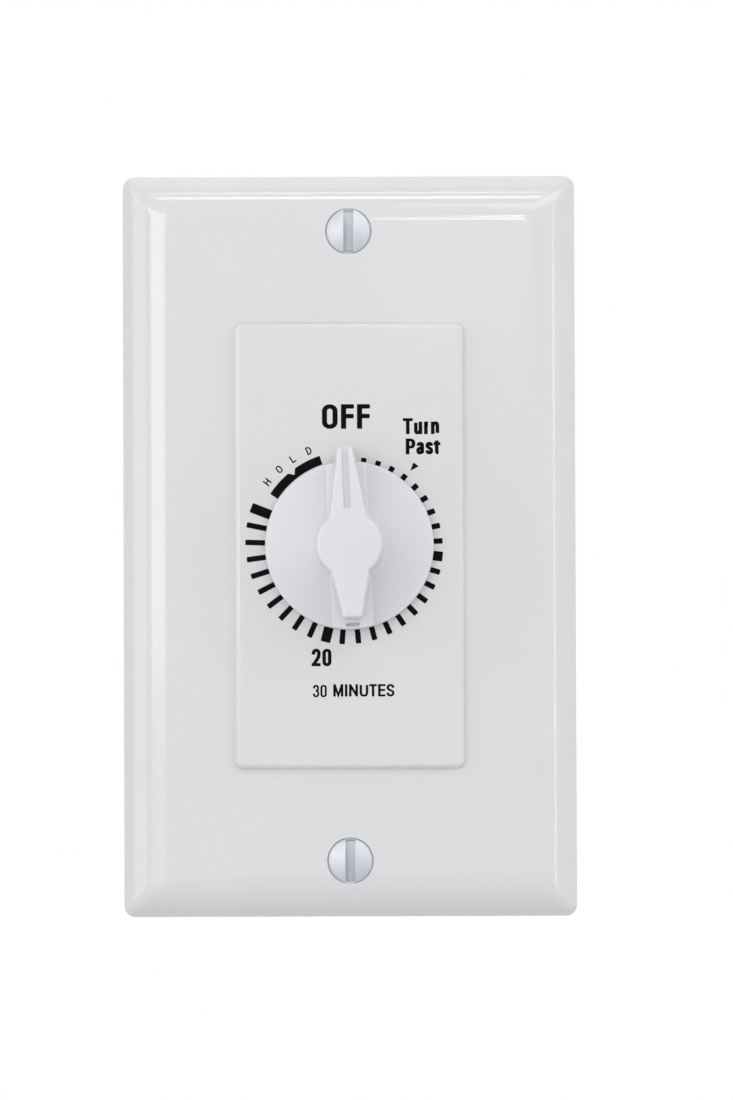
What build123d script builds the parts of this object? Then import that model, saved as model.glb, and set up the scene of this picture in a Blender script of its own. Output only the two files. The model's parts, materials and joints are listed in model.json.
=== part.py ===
from build123d import *
import os
from math import atan2, cos, degrees, hypot, pi, radians, sin, sqrt

# Spring wound timer light switch for a one gang wall box.
# Millimetres. X is right, Z is up, and +Y points into the wall.
# The origin is on the knob's axis, in the plane of the wall.
# A depth is a place along Y: behind the wall it is above 0, in the room below 0.

# Wall plate
plate_width = 69.85
plate_end = 8.73
plate_depth = 6.0
plate_wall = 2.0
plate_corner = 1.75
rim_height = 2.1
crown_width = 3.27
shoulder_radius = 8.0
rim_round = 0.5

# Raised dial panel of the wall plate
panel_width = 35.7
panel_height = 69.1
panel_rise = 1.2
panel_draft = 30.0
panel_corner = 1.3
panel_edge_round = 0.5

# Wall plate screws: number 6, oval head, slotted
screw_radius = 1.75
plate_head_radius = 3.45
plate_head_cone = 1.9
plate_head_dome = 0.75
plate_head_sink = 0.25
plate_screw_length = 12.0
plate_slot_width = 1.5
plate_slot_depth = 1.3
plate_hole_gap = 0.3
plate_boss_radius = 2.8

# Knob
knob_gap = 0.5
skirt_radius = 12.9
skirt_edge = 1.5
skirt_rise = 2.6
skirt_round = 0.6
skirt_wall = 1.2
skirt_recess = 1.1
knob_height = 12.4
hub_radius = 5.25
rib_width = 6.3
rib_height = 3.7
grip_root_width = 6.15
grip_root = 4.4
pointer_reach = 15.0
pointer_tip_width = 2.85
tail_reach = 11.4
tail_tip_width = 3.5
grip_draft = 1.5
grip_edge = 0.3
groove_width = 1.05
groove_depth = 0.45
groove_start = 5.5
notch_width = 2.0
notch_height = 0.5
notch_place = 12.15
notch_depth = 0.8
knob_lean = 2.5

# Dial shaft
shaft_radius = 3.0
flat_height = 2.0
shaft_front_wall = 1.4
spring_seat_radius = 3.5
collar_radius = 6.0
collar_thickness = 0.9
wheel_seat_radius = 3.2
groove_radius = 2.6
rear_pivot_radius = 2.5
cam_flat_height = 1.7
running_gap = 0.05
clip_thickness = 0.4
clip_width = 4.0
clip_length = 8.0
clip_gap = 0.06

# Bushing and nut
bushing_radius = 4.75
bushing_reach = 4.9
nut_across_flats = 12.7
nut_thickness = 2.3
plate_bushing_gap = 0.6

# Mounting strap
strap_thickness = 1.3
strap_margin = 4.45
strap_end_width = 33.5
strap_corner = 2.0
ear_radius = 6.3
ear_place = 10.8
ear_tab_width = 12.0
score_width = 0.8
score_length = 4.5
box_slot_length = 9.5
box_slot_height = 4.2

# Box screws and their fibre washers
box_ear_room = 9.763
box_head_radius = 3.6
box_head_height = 2.0
box_neck_radius = 1.4
box_screw_length = 20.0
box_slot_width = 1.1
box_slot_depth = 1.0
washer_side = 9.0
washer_thickness = 0.4
washer_gap = 0.05
head_gap = 0.35

# Ground screw
ground_radius = 2.0
ground_across_flats = 8.0
ground_head_height = 2.4
ground_length = 7.0
ground_place = 10.5
ground_drop = 5.0

# Movement frame
frame_sheet = 1.2
frame_corner = 2.0
frame_margin = 2.6
pillar_radius = 2.4
pillar_inset = 3.4
pillar_tenon = 1.5
pillar_head = 2.1
pillar_head_height = 0.7
strap_screw_radius = 1.5
strap_head_radius = 2.6
strap_head_height = 1.5
strap_screw_length = 6.0

# Layers of the movement, from the front plate backwards
stop_gap = 0.4
stop_thickness = 0.8
spring_room = 0.6
spring_width = 5.0
great_thickness = 1.2
dish_height = 0.7
dish_sheet = 0.3
dish_radius = 6.4
ring_thickness = 0.6
ring_radius = 4.6
pinion_overlap = 0.4
layer_gap = 0.6
escape_thickness = 0.6
second_thickness = 0.8
third_thickness = 0.8
rear_room = 1.1

# Gear train, from the great wheel to the escape wheel
great_teeth = 54
second_leaves = 9
second_teeth = 48
third_leaves = 8
third_teeth = 48
escape_leaves = 8
great_tooth_size = 0.5
second_tooth_size = 0.4
third_tooth_size = 0.35
second_direction = 112.4
third_direction = 20.0
escape_direction = -35.0
verge_direction = -60.0
arbor_radius = 0.9
pivot_radius = 0.55
pivot_gap = 0.04
wheel_hub_radius = 2.0
rim_width = 1.5
spoke_width = 1.3
spokes = 5

# Teeth, in shares: root and tip thickness of the pitch, height and depth of the size
wheel_tooth_shares = (0.60, 0.22, 0.90, 1.25)
pinion_tooth_shares = (0.56, 0.22, 0.75, 1.25)

# Escape wheel and verge
escape_teeth = 15
escape_tip_radius = 5.2
escape_root_radius = 3.7
escape_turn_share = 0.32
escape_back_share = 0.42
escape_tip_share = 0.03
pallet_span = 2.5
pallet_pin_radius = 0.25
pallet_gap = 0.15
pallet_arm_width = 1.1
pallet_thickness = 0.8
verge_hub_radius = 1.5
bar_length = 17.0
bar_width = 2.0
bar_end_radius = 1.35
bar_thickness = 1.0
bar_gap = 0.2

# Mainspring
strip_thickness = 0.3
spring_turns = 6.5
spring_pitch = 1.2
spring_inner_gap = 0.8
spring_slot_width = 1.0
spring_bend = 0.6
spring_slot_floor = 1.2
spring_tail = 6.0
post_radius = 1.5
post_gap = 0.05

# Travel stop
stop_radius = 5.6
stop_reach = 8.2
stop_tab_width = 2.2
stop_post_radius = 1.0
stop_post_place = 7.1
turn_range = 325.0

# HOLD spring behind the rear plate
hold_leaf_thickness = 0.4
hold_leaf_width = 3.0
hold_foot_place = -13.0
hold_foot_width = 5.0
hold_foot_height = 4.2
hold_leaf_end = 6.0
hold_bump_height = 1.4
hold_bump_width = 2.4
hold_notch_depth = 0.9
hold_rivet_radius = 0.8
hold_rivet_head = 1.4
hold_rivet_height = 0.5

# Switch
insulator_thickness = 0.4
cam_radius = 9.6
cam_low_radius = 8.0
cam_thickness = 4.0
cam_gap = 1.0
cam_low_angle = 40.0
cam_hub_radius = 4.2
cam_hub_height = 1.0
bump_gap = 0.2
bump_height = 2.0
blade_thickness = 0.4
blade_top = 12.0
contact_radius = 1.8
contact_height = 0.8
contact_stem = 0.9
contact_opening = 1.0
contact_place = 9.0
terminal_sheet = 1.0
terminal_width = 8.0
line_terminal_place = -18.0
terminal_step = 1.4
terminal_screw_radius = 2.0
terminal_head_radius = 3.9
terminal_head_height = 2.2
terminal_screw_length = 5.5
blade_rivet_radius = 0.9
blade_rivet_head = 1.5
blade_rivet_height = 0.4

# Moulded housing
tub_wall = 2.0
tub_gap = 0.2
tub_corner = 2.5
tub_edge_round = 1.0
switch_room = 9.0
tub_lug_width = 9.0
tub_lug_length = 6.2
tub_lug_thickness = 2.6
tub_lug_place = 10.5
tub_screw_radius = 1.4
tub_screw_head_radius = 2.6
tub_screw_head_height = 1.6
wire_slot_gap = 0.15

# Small fits
hole_gap = 0.25
cut_overrun = 1.0


def facing(depth, turn=0.0, centre=(0.0, 0.0)):
    """A plane at this depth that faces the room, turned clockwise about its centre."""
    angle = radians(-turn)
    return Plane(
        origin=(centre[0], depth, centre[1]),
        x_dir=(cos(angle), 0, sin(angle)),
        z_dir=(0, -1, 0),
    )


def lathe_plane(centre):
    """A plane through an axis along Y, for the profile of a turned piece."""
    return Plane(origin=(centre[0], 0, centre[1]), x_dir=(1, 0, 0), z_dir=(0, 0, 1))


def lathe_axis(centre):
    """The turning axis of a piece at this place on the wall."""
    return Axis((centre[0], 0, centre[1]), (0, 1, 0))


def step_away(start, direction, distance):
    """The place at this distance from another, in a direction counted from +X."""
    angle = radians(direction)
    return (start[0] + distance * cos(angle), start[1] + distance * sin(angle))


def turned(profile, centre=(0.0, 0.0)):
    """A piece turned about an axis along Y. The profile lists radius and depth."""
    with BuildPart() as piece:
        with BuildSketch(lathe_plane(centre)):
            with BuildLine():
                Polyline(*profile, close=True)
            make_face()
        revolve(axis=lathe_axis(centre))
    return piece.part


def toothed_outline(teeth, tooth_size, shares):
    """The rim of a wheel or pinion, with straight flanks and its first tooth on +X."""
    root_share, tip_share, height_share, depth_share = shares
    tip = tooth_size * (teeth / 2 + height_share)
    root = tooth_size * (teeth / 2 - depth_share)
    flank = ((root, -root_share), (tip, -tip_share), (tip, tip_share), (root, root_share))
    points = []
    for tooth in range(teeth):
        for radius, side in flank:
            angle = 2 * pi / teeth * (tooth + side / 2)
            points.append((radius * cos(angle), radius * sin(angle)))
    return points


def meshing_turn(wheel, wheel_teeth, wheel_turn, pinion, leaves):
    """How far a pinion is turned, clockwise, so that a gap meets the wheel's tooth."""
    line = degrees(atan2(pinion[1] - wheel[1], pinion[0] - wheel[0]))
    lead = (wheel_teeth / leaves) * (-wheel_turn - line)
    return -(line + degrees(pi) - lead - degrees(pi / leaves))


def wheel_blank(outline, centre, back, thickness, turn, bore, rim_inner):
    """A spoked wheel cut from sheet, with this toothed rim."""
    with BuildPart() as piece:
        with BuildSketch(facing(back, turn, centre)):
            with BuildLine():
                Polyline(*outline, close=True)
            make_face()
            Circle(rim_inner, mode=Mode.SUBTRACT)
            with BuildSketch(mode=Mode.PRIVATE) as hub:
                Circle(wheel_hub_radius + bore)
                with PolarLocations(0, spokes):
                    Rectangle(rim_inner + rim_width / 2, spoke_width, align=(Align.MIN, Align.CENTER))
            add(hub.sketch)
            Circle(bore, mode=Mode.SUBTRACT)
        extrude(amount=thickness)
    return piece.part


def arbor(centre, leaves, tooth_size, turn, pinion_back, pinion_length):
    """A steel arbor between the frame plates, with its pivots and its cut pinion."""
    shaft = turned(
        (
            (0, 0),
            (pivot_radius, 0),
            (pivot_radius, front_inner + pivot_gap),
            (arbor_radius, front_inner + pivot_gap),
            (arbor_radius, rear_plate_front - pivot_gap),
            (pivot_radius, rear_plate_front - pivot_gap),
            (pivot_radius, rear_plate_back),
            (0, rear_plate_back),
        ),
        centre,
    )
    with BuildPart() as piece:
        add(shaft)
        if leaves:
            with BuildSketch(facing(pinion_back, turn, centre)):
                with BuildLine():
                    Polyline(*toothed_outline(leaves, tooth_size, pinion_tooth_shares), close=True)
                make_face()
            extrude(amount=pinion_length)
    return piece.part


# Places that follow from the sizes above
plate_front = -plate_depth
panel_front = plate_front - panel_rise
strap_front = -strap_thickness
knob_back = panel_front - knob_gap
knob_front = knob_back - knob_height
flank_slope = (plate_depth - rim_height) / crown_width

# Layers
front_inner = frame_sheet
stop_front = front_inner + stop_gap
stop_back = stop_front + stop_thickness
spring_front = stop_back + spring_room
spring_back = spring_front + spring_width
collar_front = spring_back + spring_room
great_front = collar_front + collar_thickness
great_back = great_front + great_thickness
ring_front = great_back + dish_height
ring_back = ring_front + ring_thickness
second_pinion_back = great_back + pinion_overlap
escape_front = second_pinion_back + layer_gap
escape_back = escape_front + escape_thickness
second_front = escape_back + layer_gap + pinion_overlap
second_back = second_front + second_thickness
third_front = second_back + pinion_overlap + layer_gap + pinion_overlap
third_back = third_front + third_thickness
rear_plate_front = third_back + pinion_overlap + rear_room
rear_plate_back = rear_plate_front + frame_sheet
pallet_front = escape_back + layer_gap
pallet_back = pallet_front + pallet_thickness
bar_front = pallet_back + bar_gap
bar_back = bar_front + bar_thickness

# Arbor places
shaft_place = (0.0, 0.0)
great_pair = great_tooth_size * (great_teeth + second_leaves) / 2
second_pair = second_tooth_size * (second_teeth + third_leaves) / 2
third_pair = third_tooth_size * (third_teeth + escape_leaves) / 2
pallet_half_span = degrees(pi * pallet_span / escape_teeth)
pallet_circle = escape_tip_radius + pallet_gap + pallet_pin_radius
verge_distance = pallet_circle / cos(radians(pallet_half_span))
pallet_arm = pallet_circle * sin(radians(pallet_half_span)) / cos(radians(pallet_half_span))
second_place = step_away(shaft_place, second_direction, great_pair)
third_place = step_away(second_place, third_direction, second_pair)
escape_place = step_away(third_place, escape_direction, third_pair)
verge_place = step_away(escape_place, verge_direction, verge_distance)

# Turns that bring each pinion into mesh at rest
second_turn = meshing_turn(shaft_place, great_teeth, 0.0, second_place, second_leaves)
third_turn = meshing_turn(second_place, second_teeth, second_turn, third_place, third_leaves)
escape_pinion_turn = meshing_turn(third_place, third_teeth, third_turn, escape_place, escape_leaves)
first_pallet_direction = verge_direction + pallet_half_span
escape_wheel_turn = -(first_pallet_direction - 360 / escape_teeth * escape_turn_share)

# Frame size, from what the train needs
second_tip = second_tooth_size * (second_teeth / 2 + wheel_tooth_shares[2])
third_tip = third_tooth_size * (third_teeth / 2 + wheel_tooth_shares[2])
left_reach = second_tip - second_place[0]
right_reach = verge_place[0] + bar_width / 2
top_reach = max(third_place[1] + third_tip, second_place[1] + second_tip)
frame_half_width = max(left_reach, right_reach) + frame_margin
frame_half_height = top_reach + frame_margin
pillar_x = frame_half_width - pillar_inset
pillar_z = frame_half_height - pillar_inset
tub_half_width = frame_half_width + tub_gap + tub_wall
tub_half_height = frame_half_height + tub_gap + tub_wall

# Screw places and the plate's height, outwards from the housing
box_screw_place = tub_half_height + box_ear_room
plate_screw_place = box_screw_place + box_head_radius + head_gap + plate_boss_radius
plate_height = 2 * (plate_screw_place + plate_end)
strap_length = plate_height - 2 * strap_margin
ear_height = strap_length / 2 - ear_radius

# Switch places
insulator_back = rear_plate_back + insulator_thickness
cam_front = insulator_back + cam_gap
cam_back = cam_front + cam_thickness
blade_inner = cam_low_radius + bump_gap + bump_height
blade_outer = blade_inner + blade_thickness
moving_face = blade_outer + contact_height
fixed_face = moving_face + contact_opening
load_inner = fixed_face + contact_height
terminal_bend = cam_back + terminal_step
terminal_middle = cam_front + cam_thickness / 2
tub_inner_back = cam_back + switch_room
tub_back = tub_inner_back + tub_wall
tab_outer = tub_half_width + terminal_sheet
lug_outer = tub_half_height + tub_lug_length
lug_screw_place = tub_half_height + tub_lug_length / 2
ground_xy = (ground_place, -(tub_half_height + ground_drop))

os.makedirs("parts", exist_ok=True)


# Wall plate: one moulding with a crowned edge, a raised dial panel and a hollow back

def crowned_block(width, height, depth, rim, shoulder, corner):
    """A block whose front edge slopes and rounds over, with mitred corners."""
    slope_angle = degrees(atan2(1, flank_slope))
    with BuildPart() as block:
        with BuildSketch(facing(cut_overrun)):
            Rectangle(width, height)
        extrude(amount=rim + cut_overrun)
        with BuildSketch(facing(-rim)):
            Rectangle(width, height)
        extrude(amount=depth - rim, taper=slope_angle)
        fillet(block.faces().sort_by(Axis.Y)[0].edges(), shoulder)
        with BuildSketch(facing(0)):
            RectangleRounded(width, height, corner)
        extrude(amount=depth, mode=Mode.INTERSECT)
    return block.part


plate_blank = crowned_block(
    plate_width, plate_height, plate_depth, rim_height, shoulder_radius, plate_corner
)
hollow_rim = rim_height + plate_wall * flank_slope - plate_wall * hypot(1, flank_slope)
hollow_depth = plate_depth - plate_wall
plate_hollow = crowned_block(
    plate_width - 2 * plate_wall,
    plate_height - 2 * plate_wall,
    hollow_depth,
    hollow_rim,
    shoulder_radius - plate_wall,
    plate_corner / 2,
)

with BuildPart() as wall_plate:
    add(plate_blank)
    rim_edges = wall_plate.edges().filter_by_position(
        Axis.Y, -rim_height - rim_round / 2, -rim_height + rim_round / 2
    )
    fillet(rim_edges, rim_round)
    with BuildSketch(facing(plate_front)):
        RectangleRounded(panel_width, panel_height, panel_corner)
    extrude(amount=panel_rise, taper=panel_draft)
    panel_edges = wall_plate.faces().sort_by(Axis.Y)[0].edges()
    fillet(panel_edges, panel_edge_round)
    add(plate_hollow, mode=Mode.SUBTRACT)
    with BuildSketch(facing(-hollow_depth)):
        Rectangle(panel_width - 2 * plate_wall, panel_height - 2 * plate_wall)
    extrude(amount=panel_rise, mode=Mode.SUBTRACT)
    with BuildSketch(facing(strap_front)):
        with Locations((0, plate_screw_place), (0, -plate_screw_place)):
            Circle(plate_boss_radius)
    extrude(amount=hollow_depth - strap_thickness)
    with Locations(
        Plane(origin=(0, plate_front, plate_screw_place), z_dir=(0, -1, 0)),
        Plane(origin=(0, plate_front, -plate_screw_place), z_dir=(0, -1, 0)),
    ):
        CounterSinkHole(
            screw_radius + plate_hole_gap, plate_head_radius + plate_hole_gap, depth=plate_depth
        )
    with BuildSketch(facing(0)):
        Circle(bushing_radius + plate_bushing_gap)
    extrude(amount=plate_depth + panel_rise, mode=Mode.SUBTRACT)
wall_plate.part.label = "wall_plate"
export_step(wall_plate.part, "parts/wall_plate.step")


# Wall plate screws: oval heads in countersinks, slots upright

head_seat = plate_front + plate_head_sink
cone_back = head_seat + plate_head_cone
dome_front = head_seat - plate_head_dome
with BuildPart() as wall_plate_screws:
    top_screw = (0, plate_screw_place)
    with BuildSketch(lathe_plane(top_screw)):
        with BuildLine():
            Line((0, dome_front), (0, plate_screw_length + head_seat))
            Line((0, plate_screw_length + head_seat), (screw_radius, plate_screw_length + head_seat))
            Line((screw_radius, plate_screw_length + head_seat), (screw_radius, cone_back))
            Line((screw_radius, cone_back), (plate_head_radius, head_seat))
            RadiusArc(
                (plate_head_radius, head_seat),
                (0, dome_front),
                (plate_head_radius**2 + plate_head_dome**2) / (2 * plate_head_dome),
            )
        make_face()
    revolve(axis=lathe_axis(top_screw))
    with BuildSketch(facing(dome_front + plate_slot_depth)):
        with Locations((0, plate_screw_place)):
            Rectangle(plate_slot_width, 2 * plate_head_radius + cut_overrun)
    extrude(amount=plate_slot_depth + cut_overrun, mode=Mode.SUBTRACT)
    mirror(about=Plane.XY)
wall_plate_screws.part.label = "wall_plate_screws"
export_step(wall_plate_screws.part, "parts/wall_plate_screws.step")


# Knob: skirt, cross rib, forked pointer, tail grip and a plain hub

skirt_face = knob_back - skirt_rise
with BuildPart() as knob:
    with BuildSketch(lathe_plane(shaft_place)):
        with BuildLine():
            FilletPolyline(
                (0, knob_back),
                (skirt_radius, knob_back),
                (skirt_radius, knob_back - skirt_edge),
                (hub_radius, skirt_face),
                (0, skirt_face),
                radius=(0, 0, skirt_round, 0, 0),
                close=True,
            )
        make_face()
    revolve(axis=Axis.Y)
    with BuildSketch(facing(knob_back, -knob_lean)):
        Circle(skirt_radius - skirt_round / 2)
        Rectangle(rib_width, 2 * skirt_radius, mode=Mode.INTERSECT)
    extrude(amount=rib_height)
    with BuildSketch(facing(knob_back)):
        Circle(hub_radius)
    extrude(amount=knob_height)
    with BuildSketch(facing(knob_back, -knob_lean)):
        with BuildLine():
            FilletPolyline(
                (-grip_root_width / 2, 0),
                (-grip_root_width / 2, grip_root),
                (-pointer_tip_width / 2, pointer_reach),
                (pointer_tip_width / 2, pointer_reach),
                (grip_root_width / 2, grip_root),
                (grip_root_width / 2, 0),
                radius=(0, 0, pointer_tip_width / 4, pointer_tip_width / 4, 0, 0),
                close=True,
            )
        make_face()
    extrude(amount=knob_height, taper=grip_draft)
    with BuildSketch(facing(knob_back, -knob_lean)):
        with BuildLine():
            FilletPolyline(
                (-grip_root_width / 2, 0),
                (-grip_root_width / 2, -grip_root),
                (-tail_tip_width / 2, -tail_reach),
                (tail_tip_width / 2, -tail_reach),
                (grip_root_width / 2, -grip_root),
                (grip_root_width / 2, 0),
                radius=(0, 0, tail_tip_width / 4, tail_tip_width / 4, 0, 0),
                close=True,
            )
        make_face()
    extrude(amount=knob_height, taper=grip_draft)
    chamfer(knob.faces().sort_by(Axis.Y)[0].edges(), grip_edge)
    with BuildSketch(facing(knob_front + groove_depth, -knob_lean)):
        with Locations((0, groove_start)):
            Rectangle(groove_width, pointer_reach, align=(Align.CENTER, Align.MIN))
    extrude(amount=groove_depth + cut_overrun, mode=Mode.SUBTRACT)
    with BuildSketch(facing(knob_back - rib_height + notch_depth, -knob_lean)):
        with Locations((0, -notch_place)):
            Rectangle(notch_width, notch_height)
    extrude(amount=notch_depth + cut_overrun, mode=Mode.SUBTRACT)
    with BuildSketch(facing(knob_back)):
        Circle(skirt_radius - skirt_wall)
        Circle(hub_radius + skirt_wall, mode=Mode.SUBTRACT)
    extrude(amount=skirt_recess, mode=Mode.SUBTRACT)
    with BuildSketch(facing(knob_back, -knob_lean)):
        with BuildSketch(mode=Mode.PRIVATE) as keep_side:
            with Locations((0, flat_height + running_gap)):
                Rectangle(4 * shaft_radius, 4 * shaft_radius, align=(Align.CENTER, Align.MAX))
        Circle(shaft_radius + running_gap)
        add(keep_side.sketch, mode=Mode.INTERSECT)
        with Locations((0, flat_height)):
            Rectangle(
                clip_width + 2 * clip_gap,
                clip_thickness + 2 * clip_gap,
                align=(Align.CENTER, Align.MIN),
            )
    extrude(amount=knob_height - shaft_front_wall, mode=Mode.SUBTRACT)
knob.part.label = "knob"
export_step(knob.part, "parts/knob.step")


# Knob clip: a bowed leaf of spring steel between the flat of the shaft and the knob

clip_front = knob_front + shaft_front_wall + clip_gap
with BuildPart() as knob_clip:
    with BuildSketch(facing(clip_front + clip_length, -knob_lean)):
        with Locations((0, flat_height + clip_gap)):
            Rectangle(clip_width, clip_thickness, align=(Align.CENTER, Align.MIN))
    extrude(amount=clip_length)
knob_clip.part.label = "knob_clip"
export_step(knob_clip.part, "parts/knob_clip.step")


# Dial shaft: turned, with a flat for the knob, a slot for the spring and a flat for the cam

shaft_front = knob_front + shaft_front_wall + clip_gap
shaft_back = cam_back + cam_hub_height
flat_back = knob_back + knob_gap
with BuildPart() as dial_shaft:
    add(
        turned(
            (
                (0, shaft_front),
                (shaft_radius, shaft_front),
                (shaft_radius, stop_back),
                (spring_seat_radius, stop_back),
                (spring_seat_radius, collar_front),
                (collar_radius, collar_front),
                (collar_radius, great_front),
                (wheel_seat_radius, great_front),
                (wheel_seat_radius, ring_front),
                (groove_radius, ring_front),
                (groove_radius, ring_back),
                (wheel_seat_radius, ring_back),
                (wheel_seat_radius, rear_plate_front - stop_gap),
                (rear_pivot_radius, rear_plate_front - stop_gap),
                (rear_pivot_radius, shaft_back),
                (0, shaft_back),
            )
        )
    )
    with BuildSketch(facing(flat_back, -knob_lean)):
        with Locations((0, flat_height)):
            Rectangle(2 * shaft_radius, shaft_radius, align=(Align.CENTER, Align.MIN))
    extrude(amount=flat_back - shaft_front + cut_overrun, mode=Mode.SUBTRACT)
    with BuildSketch(facing(collar_front)):
        with Locations((spring_slot_floor, 0)):
            Rectangle(spring_seat_radius, spring_slot_width, align=(Align.MIN, Align.CENTER))
    extrude(amount=collar_front - stop_back, mode=Mode.SUBTRACT)
    with BuildSketch(facing(shaft_back + cut_overrun)):
        with Locations((0, cam_flat_height)):
            Rectangle(2 * shaft_radius, shaft_radius, align=(Align.CENTER, Align.MIN))
    extrude(amount=shaft_back + cut_overrun - cam_front, mode=Mode.SUBTRACT)
dial_shaft.part.label = "dial_shaft"
export_step(dial_shaft.part, "parts/dial_shaft.step")


# Bushing staked into the front plate, and the nut that clamps the strap to it

bushing_front = strap_front - bushing_reach
with BuildPart() as shaft_bushing:
    with BuildSketch(facing(front_inner)):
        Circle(bushing_radius)
        Circle(shaft_radius + running_gap, mode=Mode.SUBTRACT)
    extrude(amount=front_inner - bushing_front)
shaft_bushing.part.label = "shaft_bushing"
export_step(shaft_bushing.part, "parts/shaft_bushing.step")

with BuildPart() as bushing_nut:
    with BuildSketch(facing(strap_front)):
        RegularPolygon(nut_across_flats / 2, 6, major_radius=False)
        Circle(bushing_radius, mode=Mode.SUBTRACT)
    extrude(amount=nut_thickness)
bushing_nut.part.label = "bushing_nut"
export_step(bushing_nut.part, "parts/bushing_nut.step")


# Mounting strap with plaster ears that seat on the wall

with BuildPart() as mounting_strap:
    with BuildSketch(facing(0)) as strap_outline:
        RectangleRounded(2 * tub_half_width, 2 * tub_half_height, strap_corner)
        RectangleRounded(strap_end_width, 2 * (box_screw_place + box_slot_height), strap_corner)
        RectangleRounded(ear_tab_width, strap_length, strap_corner)
        for side in (-1, 1):
            with Locations((ear_place, side * ear_height), (-ear_place, side * ear_height)):
                Circle(ear_radius)
            with Locations(
                (ear_tab_width / 2, side * strap_length / 2),
                (-ear_tab_width / 2, side * strap_length / 2),
            ):
                Rectangle(score_width, 2 * score_length, mode=Mode.SUBTRACT)
            with Locations((0, side * plate_screw_place)):
                Circle(screw_radius, mode=Mode.SUBTRACT)
            with Locations((0, side * box_screw_place)):
                SlotOverall(box_slot_length, box_slot_height, mode=Mode.SUBTRACT)
        Circle(bushing_radius, mode=Mode.SUBTRACT)
        with Locations(
            (pillar_x, pillar_z), (-pillar_x, pillar_z), (pillar_x, -pillar_z), (-pillar_x, -pillar_z)
        ):
            Circle(strap_screw_radius, mode=Mode.SUBTRACT)
        with Locations((tub_lug_place, lug_screw_place), (-tub_lug_place, -lug_screw_place)):
            Circle(tub_screw_radius, mode=Mode.SUBTRACT)
        with Locations(ground_xy):
            Circle(ground_radius, mode=Mode.SUBTRACT)
    extrude(amount=strap_thickness)
mounting_strap.part.label = "mounting_strap"
export_step(mounting_strap.part, "parts/mounting_strap.step")


# Box screws: pan heads in front of the strap, a neck in its slot, threads behind

thread_front = washer_thickness + washer_gap
with BuildPart() as box_screws:
    top_box = (0, box_screw_place)
    add(
        turned(
            (
                (0, strap_front - box_head_height),
                (box_head_radius / 2, strap_front - box_head_height),
                (box_head_radius, strap_front - box_head_height / 2),
                (box_head_radius, strap_front),
                (box_neck_radius, strap_front),
                (box_neck_radius, thread_front),
                (screw_radius, thread_front),
                (screw_radius, box_screw_length - screw_radius),
                (box_neck_radius, box_screw_length),
                (0, box_screw_length),
            ),
            top_box,
        )
    )
    with BuildSketch(facing(strap_front - box_head_height + box_slot_depth)):
        with Locations((0, box_screw_place)):
            Rectangle(2 * box_head_radius + cut_overrun, box_slot_width)
    extrude(amount=box_slot_depth + cut_overrun, mode=Mode.SUBTRACT)
    mirror(about=Plane.XY)
box_screws.part.label = "box_screws"
export_step(box_screws.part, "parts/box_screws.step")

with BuildPart() as box_screw_washers:
    with BuildSketch(facing(washer_thickness)):
        with Locations((0, box_screw_place), (0, -box_screw_place)):
            RectangleRounded(washer_side, washer_side, strap_corner / 2)
            Circle(box_neck_radius + washer_gap, mode=Mode.SUBTRACT)
    extrude(amount=washer_thickness)
box_screw_washers.part.label = "box_screw_washers"
export_step(box_screw_washers.part, "parts/box_screw_washers.step")


# Ground screw: hexagon head behind the strap

with BuildPart() as ground_screw:
    with BuildSketch(facing(ground_head_height, 0.0, ground_xy)):
        RegularPolygon(ground_across_flats / 2, 6, major_radius=False)
    extrude(amount=ground_head_height)
    with BuildSketch(facing(0, 0.0, ground_xy)):
        Circle(ground_radius)
    extrude(amount=strap_thickness + ground_head_height / 2)
    with BuildSketch(facing(ground_head_height + cut_overrun, 0.0, ground_xy)):
        Rectangle(box_slot_width, 2 * ground_across_flats)
    extrude(amount=box_slot_depth + cut_overrun, mode=Mode.SUBTRACT)
ground_screw.part.label = "ground_screw"
export_step(ground_screw.part, "parts/ground_screw.step")


# Movement frame: two plates, four pillars and the screws through the strap

def pillar_places():
    """The four pillar axes, seen from the room."""
    return [(x, z) for x in (-pillar_x, pillar_x) for z in (-pillar_z, pillar_z)]


arbor_places = (second_place, third_place, escape_place, verge_place)
spring_hook = post_radius + post_gap + strip_thickness / 2
spring_start = spring_seat_radius + spring_inner_gap
spring_post_x = -(spring_start + spring_pitch * spring_turns + spring_hook)
spring_post_place = (spring_post_x, spring_bend - spring_tail)
stop_post_xy = (0.0, stop_post_place)
hold_leaf_top = -(cam_radius + running_gap + hold_bump_height)
hold_rivet_place = (hold_foot_place, hold_leaf_top - (hold_foot_height + hold_leaf_thickness) / 2)

with BuildPart() as front_plate:
    with BuildSketch(facing(front_inner)):
        RectangleRounded(2 * frame_half_width, 2 * frame_half_height, frame_corner)
        Circle(bushing_radius, mode=Mode.SUBTRACT)
        with Locations(*arbor_places):
            Circle(pivot_radius + pivot_gap, mode=Mode.SUBTRACT)
        with Locations(*pillar_places()):
            Circle(strap_screw_radius, mode=Mode.SUBTRACT)
        with Locations(spring_post_place, stop_post_xy):
            Circle(stop_post_radius, mode=Mode.SUBTRACT)
    extrude(amount=frame_sheet)
front_plate.part.label = "front_plate"
export_step(front_plate.part, "parts/front_plate.step")

with BuildPart() as rear_plate:
    with BuildSketch(facing(rear_plate_back)):
        RectangleRounded(2 * frame_half_width, 2 * frame_half_height, frame_corner)
        Circle(rear_pivot_radius + running_gap, mode=Mode.SUBTRACT)
        with Locations(*arbor_places):
            Circle(pivot_radius + pivot_gap, mode=Mode.SUBTRACT)
        with Locations(*pillar_places()):
            Circle(pillar_tenon, mode=Mode.SUBTRACT)
        with Locations(hold_rivet_place):
            Circle(hold_rivet_radius, mode=Mode.SUBTRACT)
    extrude(amount=frame_sheet)
rear_plate.part.label = "rear_plate"
export_step(rear_plate.part, "parts/rear_plate.step")

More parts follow.
